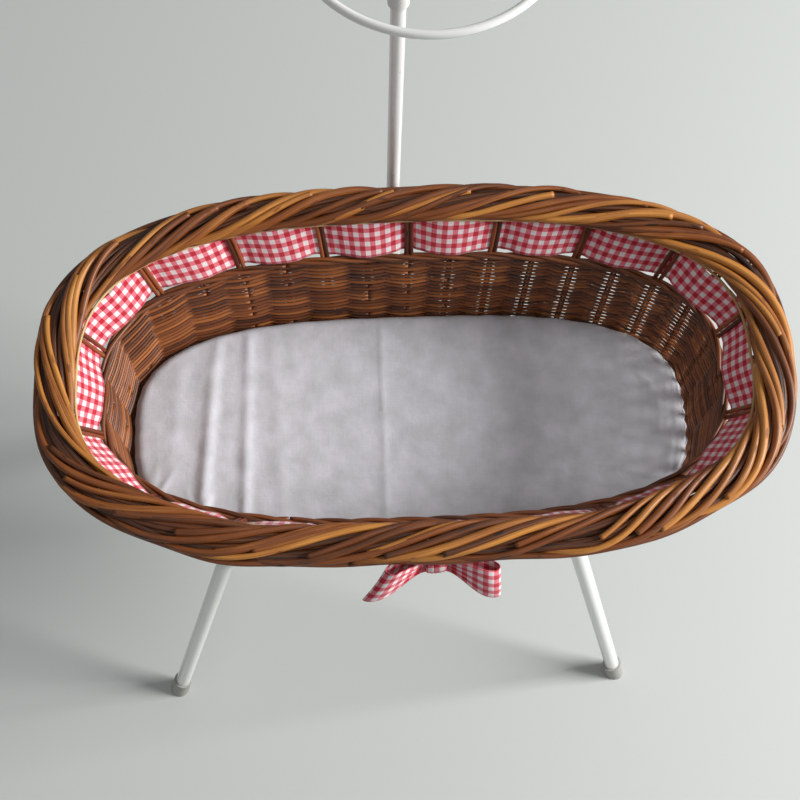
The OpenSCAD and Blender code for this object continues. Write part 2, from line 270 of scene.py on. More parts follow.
class RodGrain(Effect):
    """Streaks, stain blotches and buds along a peeled willow rod, from its own grain vector."""

    name = "rod_grain"
    inputs = {"Streaks": 0.6, "Variation": 0.6, "Stain": 0.4}
    outputs = ("Shade", "Height", "Cut")
    streak_scale = (620, 620, 15)
    fibre_scale = (2300, 2300, 60)
    blotch_scale = (55, 55, 13)
    bud_scale = (150, 150, 38)

    @classmethod
    def build(cls, graph: Graph, given: Any) -> dict[str, Socket]:
        """Mixes the rod's own tone with noise stretched along the rod.

        Args:
            graph: The group's own tree.
            given: The sockets of the group's inputs, by name.

        Returns:
            The sockets for the group's outputs, by name.
        """
        grain = graph.attribute("grain", "Vector")
        streak = graph.noise(graph.stretched(grain, cls.streak_scale), 1, 5, 0.62)
        fibre = graph.noise(graph.stretched(grain, cls.fibre_scale), 1, 2)
        blotch = graph.noise(graph.stretched(grain, cls.blotch_scale), 1, 2)
        knot = graph.noise(graph.stretched(grain, cls.bud_scale), 1, 1)
        bud = graph.remap(knot, 0.69, 0.76, 0, 1)
        own = graph.scaled(graph.attribute("tone"), given["Variation"], 0.5)
        own = graph.math("SUBTRACT", own, graph.times(given["Variation"], 0.5))
        streaky = graph.times(graph.math("SUBTRACT", streak, 0.5), given["Streaks"])
        stained = graph.times(graph.math("SUBTRACT", blotch, 0.5), given["Stain"])
        shade = graph.math("ADD", graph.math("ADD", own, streaky), stained)
        shade = graph.scaled(bud, -0.25, shade, clamp=True)
        height = graph.scaled(fibre, 0.35, graph.times(streak, 0.65))
        height = graph.scaled(bud, 0.6, height)
        return {"Shade": shade, "Height": height, "Cut": graph.attribute("cut")}


class Wear(Effect):
    """Rubbed edges, scuffs and settled dust on a hard surface."""

    name = "wear"
    inputs = {"Scuff Size": 60.0, "Scuffs": 0.3, "Dust": 0.3}
    outputs = ("Rubbed", "Dusty", "Ripple")

    @classmethod
    def build(cls, graph: Graph, given: Any) -> dict[str, Socket]:
        """Breaks up edges and upward faces with noise in the piece's own space.

        Args:
            graph: The group's own tree.
            given: The sockets of the group's inputs, by name.

        Returns:
            The sockets for the group's outputs, by name.
        """
        place = graph.add("ShaderNodeTexCoord").outputs["Object"]
        geometry = graph.add("ShaderNodeNewGeometry").outputs
        scuff = graph.noise(place, given["Scuff Size"], 6, 0.7)
        edge = graph.remap(geometry["Pointiness"], 0.52, 0.6, 0, 0.5)
        rubbed = graph.math("ADD", scuff, graph.times(edge, given["Scuffs"]))
        low = graph.scaled(given["Scuffs"], -0.2, 0.78)
        rubbed = graph.times(graph.math("SUBTRACT", rubbed, low), 12, clamp=True)
        up = graph.add("ShaderNodeSeparateXYZ", {0: geometry["Normal"]}).outputs[2]
        cloud = graph.remap(graph.noise(place, 9, 4), 0.35, 0.75, 0, 1)
        dusty = graph.times(graph.math("MAXIMUM", up, 0), cloud)
        ripple = graph.noise(place, 420, 2)
        return {
            "Rubbed": rubbed,
            "Dusty": graph.times(dusty, given["Dust"], clamp=True),
            "Ripple": ripple,
        }


class Threads(Effect):
    """Plain-weave threads, thick and thin yarns and soft crumples, from the cloth's own plane."""

    name = "threads"
    inputs = {"Thread Count": 1600.0, "Crumple Size": 40.0}
    outputs = ("Weave", "Slub", "Crumple")

    @classmethod
    def build(cls, graph: Graph, given: Any) -> dict[str, Socket]:
        """Crosses two sine waves for the weave, and stretches noise along both yarns.

        Args:
            graph: The group's own tree.
            given: The sockets of the group's inputs, by name.

        Returns:
            The sockets for the group's outputs, by name.
        """
        cloth = graph.attribute("cloth", "Vector")
        parts = graph.add("ShaderNodeSeparateXYZ", {0: cloth}).outputs
        turns = graph.times(given["Thread Count"], math.pi)
        waves = [graph.math("SINE", graph.times(parts[i], turns)) for i in (0, 1)]
        weave = graph.scaled(graph.times(*waves), 0.5, 0.5)
        scales = ((900, 22, 1), (22, 900, 1))
        yarns = [graph.noise(graph.stretched(cloth, scale), 1, 3) for scale in scales]
        slub = graph.times(graph.math("ADD", *yarns), 0.5)
        crumple = graph.noise(cloth, given["Crumple Size"], 4)
        return {"Weave": weave, "Slub": slub, "Crumple": crumple}


# ---------- finishes ----------


@dataclass(frozen=True)
class Finish:
    """A material for one slot of the record."""

    slot: Slot

    def shade(self, graph: Graph) -> dict[str, Any]:
        """Adds the finish's nodes.

        Args:
            graph: The material's tree.

        Returns:
            The values and sockets for the shader's inputs, by name.
        """
        raise NotImplementedError

    def material(self) -> bpy.types.Material:
        """The material, built on its first use.

        Returns:
            The material.
        """
        name = f"{self.slot.value}_finish"
        made = bpy.data.materials.get(name)
        if made is None:
            made = bpy.data.materials.new(name)
            made.use_nodes = True
            made.node_tree.nodes.clear()
            graph = Graph(made.node_tree)
            shader = graph.add("ShaderNodeBsdfPrincipled", self.shade(graph))
            graph.add("ShaderNodeOutputMaterial", {"Surface": shader.outputs["BSDF"]})
        return made


@dataclass(frozen=True)
class WillowFinish(Finish):
    """Stained and varnished willow, from dark to light along and between the rods."""

    dark: Colour
    middle: Colour
    light: Colour
    cut_face: Colour = tint(214, 180, 128)
    dust: Colour = tint(170, 160, 145)
    streaks: float = 0.75
    variation: float = 0.7
    stain: float = 0.5
    varnish: float = 0.22
    grain_depth: float = 0.00035

    def shade(self, graph: Graph) -> dict[str, Any]:
        """Colours the rod by its shade, dulls its streaks and raises its grain.

        Args:
            graph: The material's tree.

        Returns:
            The values and sockets for the shader's inputs, by name.
        """
        shares = {"streaks": self.streaks, "variation": self.variation, "stain": self.stain}
        rod = RodGrain.place(graph, **shares)
        wear = Wear.place(graph, scuff_size=90.0, scuffs=0.2, dust=0.15)
        stops = [(0.05, self.dark), (0.5, self.middle), (0.95, self.light)]
        stained = graph.ramp(rod["Shade"], stops)
        rubbed = graph.blend(graph.times(wear["Rubbed"], 0.5), stained, self.light)
        dusty = graph.blend(graph.times(wear["Dusty"], 0.3), rubbed, self.dust)
        gloss = graph.remap(rod["Height"], 0.25, 0.8, 0.34, 0.62)
        return {
            "Base Color": graph.blend(rod["Cut"], dusty, self.cut_face),
            "Roughness": graph.math("ADD", gloss, graph.times(wear["Dusty"], 0.3)),
            "Coat Weight": graph.scaled(wear["Rubbed"], -self.varnish, self.varnish, clamp=True),
            "Coat Roughness": 0.3,
            "Specular IOR Level": 0.38,
            "Normal": graph.bump(rod["Height"], self.grain_depth),
        }


@dataclass(frozen=True)
class EnamelFinish(Finish):
    """Gloss enamel or moulded plastic, slightly rippled, scuffed and dusty."""

    colour: Colour = tint(240, 240, 236)
    bared: Colour = tint(150, 150, 150)
    dust: Colour = tint(196, 188, 172)
    gloss: float = 0.22
    scuffs: float = 0.25
    coat: float = 0.4
    ripple_depth: float = 0.00004

    def shade(self, graph: Graph) -> dict[str, Any]:
        """Greys the scuffs, warms the dust and breaks up the gloss.

        Args:
            graph: The material's tree.

        Returns:
            The values and sockets for the shader's inputs, by name.
        """
        wear = Wear.place(graph, scuff_size=110.0, scuffs=self.scuffs, dust=0.6)
        scuffed = graph.blend(graph.times(wear["Rubbed"], 0.6), self.colour, self.bared)
        dull = graph.scaled(wear["Rubbed"], 0.35, self.gloss)
        return {
            "Base Color": graph.blend(graph.times(wear["Dusty"], 0.35), scuffed, self.dust),
            "Roughness": graph.scaled(wear["Dusty"], 0.3, dull),
            "Coat Weight": self.coat,
            "Coat Roughness": 0.12,
            "Normal": graph.bump(wear["Ripple"], self.ripple_depth),
        }


@dataclass(frozen=True)
class ZincFinish(Finish):
    """Zinc-plated steel with dull patches and fine scratches."""

    colour: Colour = tint(196, 198, 200)
    dulled: Colour = tint(140, 140, 138)
    scratch_depth: float = 0.00003

    def shade(self, graph: Graph) -> dict[str, Any]:
        """Dulls the plating in patches.

        Args:
            graph: The material's tree.

        Returns:
            The values and sockets for the shader's inputs, by name.
        """
        wear = Wear.place(graph, scuff_size=160.0, scuffs=0.5, dust=0.5)
        return {
            "Base Color": graph.blend(wear["Rubbed"], self.colour, self.dulled),
            "Metallic": 1.0,
            "Roughness": graph.scaled(wear["Rubbed"], 0.3, 0.28),
            "Normal": graph.bump(wear["Ripple"], self.scratch_depth),
        }


@dataclass(frozen=True)
class RubberFinish(Finish):
    """Matt moulded rubber, scuffed and dusty."""

    colour: Colour = tint(150, 150, 148)
    scuffed: Colour = tint(190, 186, 176)
    pit_depth: float = 0.00012

    def shade(self, graph: Graph) -> dict[str, Any]:
        """Lightens scuffs and dust on a matt, finely pitted surface.

        Args:
            graph: The material's tree.

        Returns:
            The values and sockets for the shader's inputs, by name.
        """
        wear = Wear.place(graph, scuff_size=200.0, scuffs=0.5, dust=0.9)
        worn = graph.math("MAXIMUM", graph.times(wear["Rubbed"], 0.5), wear["Dusty"])
        return {
            "Base Color": graph.blend(worn, self.colour, self.scuffed),
            "Roughness": graph.scaled(worn, 0.15, 0.68),
            "Normal": graph.bump(wear["Ripple"], self.pit_depth),
        }


@dataclass(frozen=True)
class GinghamFinish(Finish):
    """Red and white gingham: two crossed stripes of dyed yarn in a plain weave."""

    white: Colour = tint(246, 236, 234)
    pink: Colour = tint(236, 120, 134)
    red: Colour = tint(196, 22, 44)
    check: float = 0.0127
    thread_count: float = 1500.0
    crumple_depth: float = 0.0016

    def stripe(self, graph: Graph, run: Socket) -> Socket:
        """Dyed share of one set of yarns, 1 in a stripe and 0 between, with soft edges.

        Args:
            graph: The material's tree.
            run: Distance across the stripes, in metres.

        Returns:
            The share.
        """
        turn = graph.math("FRACT", graph.times(run, 1 / self.check))
        middle = graph.math("ABSOLUTE", graph.math("SUBTRACT", turn, 0.5))
        return graph.remap(middle, 0.235, 0.265, 0, 1)

    def shade(self, graph: Graph) -> dict[str, Any]:
        """Adds the two stripes up into white, pink and red squares of woven cotton.

        Args:
            graph: The material's tree.

        Returns:
            The values and sockets for the shader's inputs, by name.
        """
        threads = Threads.place(graph, thread_count=self.thread_count, crumple_size=110.0)
        cloth = graph.attribute("cloth", "Vector")
        parts = graph.add("ShaderNodeSeparateXYZ", {0: cloth}).outputs
        stripes = [self.stripe(graph, parts[i]) for i in (0, 1)]
        dyed = graph.times(graph.math("ADD", *stripes), 0.5)
        colour = graph.ramp(dyed, [(0.0, self.white), (0.5, self.pink), (1.0, self.red)])
        faded = graph.remap(threads["Slub"], 0.3, 0.7, 0.82, 1.08)
        colour = graph.blend(1.0, colour, faded, "MULTIPLY")
        # Painted shade between the threads: the weave darkens the colour in its hollows.
        woven = graph.remap(threads["Weave"], 0, 1, 0.9, 1.04)
        fold = graph.scaled(threads["Weave"], 0.12, threads["Crumple"])
        return {
            "Base Color": graph.blend(1.0, colour, woven, "MULTIPLY"),
            "Roughness": graph.remap(threads["Slub"], 0.3, 0.7, 0.78, 0.92),
            "Sheen Weight": 0.25,
            "Sheen Roughness": 0.5,
            "Normal": graph.bump(fold, self.crumple_depth, 0.6),
        }


@dataclass(frozen=True)
class CottonFinish(Finish):
    """Plain white cotton with uneven yarns, and painted shade that follows its crumples."""

    colour: Colour = tint(226, 225, 232)
    shadow: Colour = tint(206, 207, 210)
    thread_count: float = 1100.0
    crumple_depth: float = 0.0022

    def shade(self, graph: Graph) -> dict[str, Any]:
        """Tints the cloth by its yarns, paints shade by its crumples, and raises both.

        Args:
            graph: The material's tree.

        Returns:
            The values and sockets for the shader's inputs, by name.
        """
        threads = Threads.place(graph, thread_count=self.thread_count, crumple_size=26.0)
        # Painted shade: the crumple noise blends the cloth towards its shadow colour.
        cloud = graph.remap(threads["Crumple"], 0.35, 0.65, 0, 1)
        crumple_shaded = graph.blend(cloud, self.colour, self.shadow)
        yarn = graph.remap(threads["Slub"], 0.3, 0.7, 0.93, 1.03)
        fold = graph.scaled(threads["Weave"], 0.05, threads["Crumple"])
        fold = graph.scaled(threads["Slub"], 0.12, fold)
        return {
            "Base Color": graph.blend(1.0, crumple_shaded, yarn, "MULTIPLY"),
            "Roughness": graph.remap(threads["Slub"], 0.3, 0.7, 0.8, 0.95),
            "Sheen Weight": 0.15,
            "Normal": graph.bump(fold, self.crumple_depth, 0.7),
        }


@dataclass(frozen=True)
class FloorFinish(Finish):
    """Plain pale matt floor, which is no part of the bassinet."""

    slot: Slot | None = None
    colour: Colour = tint(202, 205, 201)

    def material(self) -> bpy.types.Material:
        """The floor's material.

        Returns:
            The material.
        """
        made = bpy.data.materials.new("pale_floor")
        made.use_nodes = True
        shader = made.node_tree.nodes["Principled BSDF"]
        shader.inputs["Base Color"].default_value = self.colour
        shader.inputs["Roughness"].default_value = 0.7
        return made


FINISHES: dict[Slot, Finish] = {
    finish.slot: finish
    for finish in (
        EnamelFinish(Slot.WHITE_PAINT),
        EnamelFinish(
            Slot.WHITE_PLASTIC, tint(226, 226, 220), tint(200, 198, 190), gloss=0.42, coat=0.05
        ),
        ZincFinish(Slot.ZINC_PLATE),
        RubberFinish(Slot.DARK_RUBBER, tint(46, 46, 46), tint(100, 96, 90)),
        RubberFinish(Slot.FOOT_RUBBER),
        WillowFinish(Slot.WILLOW_WEAVE, tint(52, 24, 9), tint(126, 66, 25), tint(176, 104, 46)),
        WillowFinish(
            Slot.WILLOW_BORDER,
            tint(38, 16, 6),
            tint(130, 68, 23),
            tint(206, 138, 60),
            grain_depth=0.0005,
        ),
        WillowFinish(Slot.WILLOW_STAKES, tint(48, 18, 8), tint(116, 54, 26), tint(168, 92, 48)),
        WillowFinish(
            Slot.PALE_WILLOW,
            tint(136, 100, 52),
            tint(190, 152, 92),
            tint(222, 192, 134),
            varnish=0.2,
        ),
        GinghamFinish(Slot.GINGHAM),
        # The ticking's second colour is its painted crumple shade.
        CottonFinish(Slot.TICKING, tint(232, 228, 214), tint(214, 208, 192)),
        CottonFinish(Slot.COTTON),
    )
}


# ---------- meshes ----------


def mesh_object(name: str, verts: Array, faces: list) -> Object:
    """Smooth-shaded mesh object in the scene.

    Args:
        name: The object's name.
        verts: Points, one row each, in metres.
        faces: Lists of point numbers.

    Returns:
        The new object.
    """
    mesh = bpy.data.meshes.new(name)
    mesh.from_pydata(verts.tolist(), [], faces)
    mesh.shade_smooth()
    made = bpy.data.objects.new(name, mesh)
    bpy.context.scene.collection.objects.link(made)
    return made


def set_attribute(piece: Object, name: str, values: Array) -> None:
    """Writes a number or a vector for each point of the mesh.

    Args:
        piece: The mesh object.
        name: The attribute's name.
        values: One number or one row of three for each point.
    """
    kind, key = ("FLOAT_VECTOR", "vector") if values.ndim == 2 else ("FLOAT", "value")
    made = piece.data.attributes.new(name, kind, "POINT")
    made.data.foreach_set(key, values.astype(np.float32).ravel())


def fixed(piece: Object, body: Body, slot: Slot, *nodes: str) -> Object:
    """Dresses a built piece and fixes it to its body.

    Args:
        piece: The piece, in place.
        body: The body that it rides on.
        slot: The material slot of its finish.
        *nodes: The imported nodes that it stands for.

    Returns:
        The same piece.
    """
    piece.data.materials.append(FINISHES[slot].material())
    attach(piece, body.value)
    if nodes:
        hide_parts(*nodes)
    LOG.info("%s: %d faces on %s, %s", piece.name, len(piece.data.polygons), body.value, slot.value)
    return piece


def unit(rows: Array) -> Array:
    """Rows of vectors scaled to length 1."""
    return rows / np.maximum(np.linalg.norm(rows, axis=-1, keepdims=True), 1e-12)


def stacked(*parts: Array | float) -> Array:
    """Grids of numbers, spread to one size and put side by side as points."""
    return np.stack(np.broadcast_arrays(*parts), axis=-1)


def run_along(path: Array) -> Array:
    """Distance along a path at each of its points."""
    steps = np.linalg.norm(np.diff(path, axis=0), axis=1)
    return np.concatenate([[0.0], np.cumsum(steps)])


def reach_of(angle: Array, power: Array | float) -> Array:
    """Reach of a rounded square of half-width 1 in a direction."""
    return (np.abs(np.cos(angle)) ** power + np.abs(np.sin(angle)) ** power) ** (-1 / power)


@dataclass
class RodBatch:
    """Round rods of one piece, gathered into one mesh with a grain, a tone and cut ends."""

    name: str
    sides: int = 8
    seed: int = 1
    verts: list[Array] = field(default_factory=list)
    faces: list = field(default_factory=list)
    grain: list[Array] = field(default_factory=list)
    tone: list[Array] = field(default_factory=list)
    cut: list[Array] = field(default_factory=list)
    count: int = 0

    def __post_init__(self) -> None:
        """Seeds the batch's own random draws."""
        self.draw = random.Random(self.seed)

    def add(
        self, path: Array, radius: float | Array, toward: Array, tone: float | None = None
    ) -> None:
        """Adds one rod with a flat cut at each end.

        Args:
            path: Points along the middle of the rod.
            radius: The rod's radius, one number or one for each point.
            toward: A direction across the rod, one row or one for each point.
            tone: How light the rod is, from 0 to 1, or None to draw it.
        """
        rings = len(path)
        radii = np.broadcast_to(np.asarray(radius, float), (rings,))[:, None, None]
        along = unit(np.gradient(path, axis=0))
        first = np.broadcast_to(toward, path.shape)
        first = unit(first - (first * along).sum(1, keepdims=True) * along)
        second = np.cross(along, first)
        angle = np.linspace(0, math.tau, self.sides, endpoint=False)[None, :, None]
        across = np.cos(angle) * first[:, None] + np.sin(angle) * second[:, None]
        skin = (path[:, None] + radii * across).reshape(-1, 3)
        run = run_along(path)
        shift = self.draw.uniform(0, 900)
        grain = stacked(
            np.cos(angle) * radii, np.sin(angle) * radii, run[:, None, None] + shift
        ).reshape(-1, 3)
        ends = np.array([[0, 0, shift], [0, 0, shift + run[-1]]])
        start = self.count
        corner = np.arange(self.sides)
        level = start + np.arange(rings - 1)[:, None] * self.sides
        here, there = level + corner, level + (corner + 1) % self.sides
        quads = stacked(here, there, there + self.sides, here + self.sides)
        self.faces += quads.reshape(-1, 4).tolist()
        butt, tip = start + len(skin), start + len(skin) + 1
        last = start + (rings - 1) * self.sides
        for j in range(self.sides):
            step = (j + 1) % self.sides
            self.faces.append([butt, start + step, start + j])
            self.faces.append([tip, last + j, last + step])
        self.verts += [skin, path[[0, -1]]]
        self.grain += [grain, ends]
        shade = self.draw.random() if tone is None else tone
        self.tone.append(np.full(len(skin) + 2, shade))
        self.cut += [np.zeros(len(skin)), np.ones(2)]
        self.count += len(skin) + 2

    def lumps(self, points: int, share: float) -> Array:
        """Slow random swelling along a rod, as factors near 1.

        Args:
            points: How many points the rod has.
            share: How strong the swelling is.

        Returns:
            A factor for each point.
        """
        phase = self.draw.uniform(0, 9)
        pace = self.draw.uniform(0.5, 1.1)
        run = np.linspace(0, 1, points)
        quick = np.sin(23 * pace * run + 2 * phase)
        return 1 + share * (np.sin(9 * pace * run + phase) + 0.6 * quick)

    def build(self) -> Object:
        """The mesh object of all the rods.

        Returns:
            The new object.
        """
        made = mesh_object(self.name, np.concatenate(self.verts), self.faces)
        for name in ("grain", "tone", "cut"):
            set_attribute(made, name, np.concatenate(getattr(self, name)))
        return made

    def lay(self, slot: Slot, *nodes: str) -> None:
        """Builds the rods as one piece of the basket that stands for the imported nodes."""
        fixed(self.build(), Body.BASKET, slot, *nodes)


def cloth_object(
    name: str, middle: Array, flat: Array, thickness: float, wrap: bool = False
) -> Object:
    """Closed thin shell round a grid of points, with the cloth's flat plane as an attribute.

    Args:
        name: The object's name.
        middle: Grid of points, rows by columns by 3.
        flat: Place of each point on the flat cloth, rows by columns by 2, in metres.
        thickness: Thickness of the cloth in metres.
        wrap: True if the last row joins the first.

    Returns:
        The new object.
    """
    rows, columns = middle.shape[:2]
    padded = np.concatenate([middle[-1:], middle, middle[:1]]) if wrap else middle
    down = np.gradient(padded, axis=0)[1:-1] if wrap else np.gradient(padded, axis=0)
    normal = unit(np.cross(down, np.gradient(middle, axis=1)))
    skins = [middle + side * thickness / 2 * normal for side in (1, -1)]
    verts = np.concatenate(skins).reshape(-1, 3)
    number = np.arange(rows * columns).reshape(rows, columns)
    if wrap:
        number = np.concatenate([number, number[:1]])
    quads = stacked(number[:-1, :-1], number[1:, :-1], number[1:, 1:], number[:-1, 1:])
    quads = quads.reshape(-1, 4)
    under = rows * columns
    faces = quads.tolist() + (quads[:, ::-1] + under).tolist()
    rims = [number[::-1, 0], number[:, -1]]
    if not wrap:
        rims += [number[0, :], number[-1, ::-1]]
    for rim in rims:
        for a, b in zip(rim[:-1].tolist(), rim[1:].tolist()):
            faces.append([a, b, b + under, a + under])
    made = mesh_object(name, verts, faces)
    cloth = np.concatenate([flat.reshape(-1, 2), np.zeros((rows * columns, 1))], axis=1)
    set_attribute(made, "cloth", np.concatenate([cloth, cloth]))
    return made


def ease(value: Array | float, low: float = 0.0, high: float = 1.0) -> Array | float:
    """Smooth step of a value from 0 at low to 1 at high.

    Args:
        value: The value or values.
        low: Where the step starts.
        high: Where the step ends.

    Returns:
        Shares from 0 to 1.
    """
    share = np.clip((value - low) / (high - low), 0, 1)
    return share * share * (3 - 2 * share)


# ---------- the basket's oval ----------


@dataclass
class Oval:
    """Rounded oval of the basket. A fraction runs once round it, counter-clockwise from +X."""

    rim_shape: float = 2.72
    foot_shape: float = 3.0
    line_inset: float = 0.065
    stake_pairs: int = 36
    table_steps: int = 720

    def __post_init__(self) -> None:
        """Reads the rim's size and measures the stake line."""
        low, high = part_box("rolled_border")
        self.centre = (low + high) / 2
        self.half_length = (high.x - low.x) / 2
        self.half_width = (high.y - low.y) / 2
        self.rim_top = high.z
        self.foot_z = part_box("foot_ring")[0].z
        self.table_angle = np.linspace(0, math.tau, self.table_steps + 1)
        line = self.at_angle(self.table_angle, self.line_inset, self.rim_top)
        run = run_along(line)
        self.length = run[-1]
        self.table_share = run / run[-1]

    def at_angle(self, angle: Array, inset: Array | float, height: Array | float) -> Array:
        """Points at a polar angle, inset from the rim's outer edge, at a height.

        Args:
            angle: Polar angles.
            inset: Distances in from the edge.
            height: Heights over the floor.

        Returns:
            The points, in rows of x, y and z.
        """
        level = np.clip((np.asarray(height) - self.foot_z) / (self.rim_top - self.foot_z), 0, 1)
        power = self.foot_shape + (self.rim_shape - self.foot_shape) * level
        reach = reach_of(angle, power)
        x = self.centre.x + reach * (self.half_length - inset) * np.cos(angle)
        y = self.centre.y + reach * (self.half_width - inset) * np.sin(angle)
        return stacked(x, y, height)

    def angle(self, fraction: Array) -> Array:
        """Polar angle at a fraction of the stake line's length."""
        laps = np.floor(fraction)
        return math.tau * laps + np.interp(fraction - laps, self.table_share, self.table_angle)

    def point(self, fraction: Array, inset: Array | float, height: Array | float) -> Array:
        """Points at a fraction of the way round, inset from the rim's outer edge."""
        return self.at_angle(self.angle(np.asarray(fraction, float)), inset, height)

    def tangent(self, fraction: Array) -> Array:
        """Level direction of travel round the stake line.

        Args:
            fraction: Fractions of the way round.

        Returns:
            Directions of length 1.
        """
        step = 0.002
        ahead = self.point(np.asarray(fraction) + step, self.line_inset, 0)
        behind = self.point(np.asarray(fraction) - step, self.line_inset, 0)
        return unit(ahead - behind)

    def inset_of(self, node: str) -> float:
        """How far a packed ring's outer face lies inside the rim's outer edge."""
        low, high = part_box(node)
        return self.half_length - (high.x - low.x) / 2

    def pairs(self) -> Iterator[tuple[float, Array]]:
        """Goes round the stake pairs.

        Returns:
            Each pair's fraction of the way round and its direction of travel.
        """
        for pair in range(self.stake_pairs):
            fraction = pair / self.stake_pairs
            yield fraction, self.tangent(fraction)

    def half_turn(self, fraction: Array) -> Array:
        """Wave that is 1 at even stake pairs and -1 at odd ones."""
        return np.cos(math.pi * self.stake_pairs * np.asarray(fraction))


@dataclass
class SideWall:
    """The randed side: rows of rods in front of one stake pair and behind the next."""

    oval: Oval
    row_pitch: float = 0.0045
    tight_radius: float = 0.00218
    loose_radius: float = 0.0016
    loose_from: float = -0.05
    loose_to: float = 0.2
    stake_radius: float = 0.0019
    wall_thickness: float = 0.008
    wander: float = 0.0004
    thickness_spread: tuple[float, float] = (0.86, 1.1)
    samples: int = 8
    rods_per_row: int = 3

    def __post_init__(self) -> None:
        """Reads the wall's height and lean."""
        low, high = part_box("side_weave")
        self.foot, self.top = low.z, high.z
        self.top_inset = self.oval.inset_of("side_weave") + self.wall_thickness / 2
        ring, base = self.oval.inset_of("foot_ring"), self.oval.inset_of("basket_base")
        self.foot_inset = (ring + base) / 2 - 0.0015
        self.swing = self.stake_radius + self.loose_radius + CLEARANCE

    def inset(self, height: Array | float) -> Array | float:
        """Inset of the middle of the wall at a height."""
        share = (height - self.foot) / (self.top - self.foot)
        return self.foot_inset + (self.top_inset - self.foot_inset) * share

    def row(self, batch: RodBatch, number: int, height: float) -> None:
        """Adds one row, cut into rods that butt together inside a stake pair.

        Args:
            batch: The batch that the rods join.
            number: The row's number from the foot.
            height: The row's height over the floor.
        """
        pairs = self.oval.stake_pairs
        parity = number % 2
        thirds = [pairs * i // self.rods_per_row for i in range(self.rods_per_row)]
        shift = 2 * batch.draw.randrange(pairs // 2) + parity
        joints = [shift + third - third % 2 for third in thirds]
        joints.append(joints[0] + pairs)
        phase = batch.draw.uniform(0, 6)
        for begin, end in zip(joints[:-1], joints[1:]):
            steps = (end - begin) * self.samples
            fraction = np.linspace((begin + 0.01) / pairs, (end - 0.01) / pairs, steps)
            wave = self.oval.half_turn(fraction - parity / pairs)
            sag = self.wander * np.sin(math.tau * fraction * 7 + phase)
            sag = sag + 0.5 * self.wander * np.sin(math.tau * fraction * 19 + 2 * phase)
            path = self.oval.point(fraction, self.inset(height) + self.swing * wave, height + sag)
            loose = 0.25 + 0.75 * ease(path[:, 0], self.loose_from, self.loose_to)
            loose = loose * ease(np.abs(wave), 0.6, 0.95)
            usual = self.tight_radius + (self.loose_radius - self.tight_radius) * loose
            radius = usual * batch.draw.uniform(*self.thickness_spread)
            batch.add(path, radius * batch.lumps(steps, 0.035), UP)

    def build(self) -> None:
        """Builds the rows and the stakes inside them."""
        rows = RodBatch("side_weave_rods", sides=7, seed=11)
        count = int((self.top - self.foot) / self.row_pitch)
        pitch = (self.top - self.foot) / count
        for number in range(count):
            self.row(rows, number, self.foot + (number + 0.5) * pitch)
        rows.lay(Slot.WILLOW_WEAVE, "side_weave")
        stakes = RodBatch("wall_stakes", sides=8, seed=12)
        heights = np.linspace(self.foot - 0.008, self.top + 0.004, 9)
        for fraction, along in self.oval.pairs():
            middle = self.oval.point(np.full(9, fraction), self.inset(heights), heights)
            for side in (-1, 1):
                offset = side * (self.stake_radius + CLEARANCE) * along
                stakes.add(middle + offset, self.stake_radius, along)
        stakes.lay(Slot.WILLOW_STAKES)


@dataclass
class Rope:
    """Rods twisted round each other into one ring, as in a wale."""

    oval: Oval
    node: str
    name: str
    strands: int
    twists: int
    strand_radius: float
    slot: Slot
    seed: int
    steps_per_twist: int = 22

    def build(self) -> None:
        """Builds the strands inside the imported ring's section."""
        low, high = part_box(self.node)
        half_height = (high.z - low.z) / 2
        outer = self.oval.inset_of(self.node)
        batch = RodBatch(self.name, sides=9, seed=self.seed)
        ride_in = half_height - self.strand_radius
        steps = self.twists * self.steps_per_twist
        for strand in range(self.strands):
            lap = strand / self.strands
            fraction = np.linspace(lap, lap + 0.999, steps)
            phase = math.tau * (self.twists * fraction + lap)
            inset = outer + half_height + ride_in * np.cos(phase)
            path = self.oval.point(fraction, inset, (low.z + high.z) / 2 + ride_in * np.sin(phase))
            batch.add(path, self.strand_radius * batch.lumps(steps, 0.03), UP)
        batch.lay(self.slot, self.node)


@dataclass
class WovenBase:
    """Floor of the basket: rods woven in ovals over and under crossing sticks."""

    oval: Oval
    rod_radius: float = 0.0017
    stick_radius: float = 0.0026
    pitch: float = 0.0048
    cross_sticks: int = 13
    crossings: int = 44
    end_gap: float = 0.03

    def build(self) -> None:
        """Builds the sticks and the ovals round them."""
        low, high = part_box("basket_base")
        middle_z = (low.z + high.z) / 2
        edge = self.oval.inset_of("basket_base")
        batch = RodBatch("base_weave", sides=6, seed=21)
        swing = self.rod_radius + self.stick_radius
        rows = int((self.oval.half_width - edge) / self.pitch)
        for number in range(rows):
            inset = edge + (number + 0.5) * self.pitch - 0.001
            steps = 6 * self.crossings
            fraction = np.linspace(0.5, 1.499, steps)
            wave = np.cos(math.pi * self.crossings * fraction + math.pi * number)
            path = self.oval.point(fraction, inset, middle_z)
            path[:, 2] += swing * wave
            batch.add(path, self.rod_radius * batch.lumps(steps, 0.04), UP)
        batch.lay(Slot.WILLOW_WEAVE, "basket_base")
        sticks = RodBatch("base_sticks", sides=7, seed=22)
        reach = self.oval.half_length - edge - self.end_gap
        for number in range(self.cross_sticks):
            x = self.oval.centre.x + reach * (2 * number / (self.cross_sticks - 1) - 1)
            share = min(1.0, abs(x - self.oval.centre.x) / (self.oval.half_length - edge))
            half = (self.oval.half_width - edge) * (1 - share**3) ** (1 / 3)
            line = np.linspace(-half, half, 12)
            sticks.add(stacked(x, self.oval.centre.y + line, middle_z), self.stick_radius, UP)
        sticks.lay(Slot.WILLOW_STAKES)


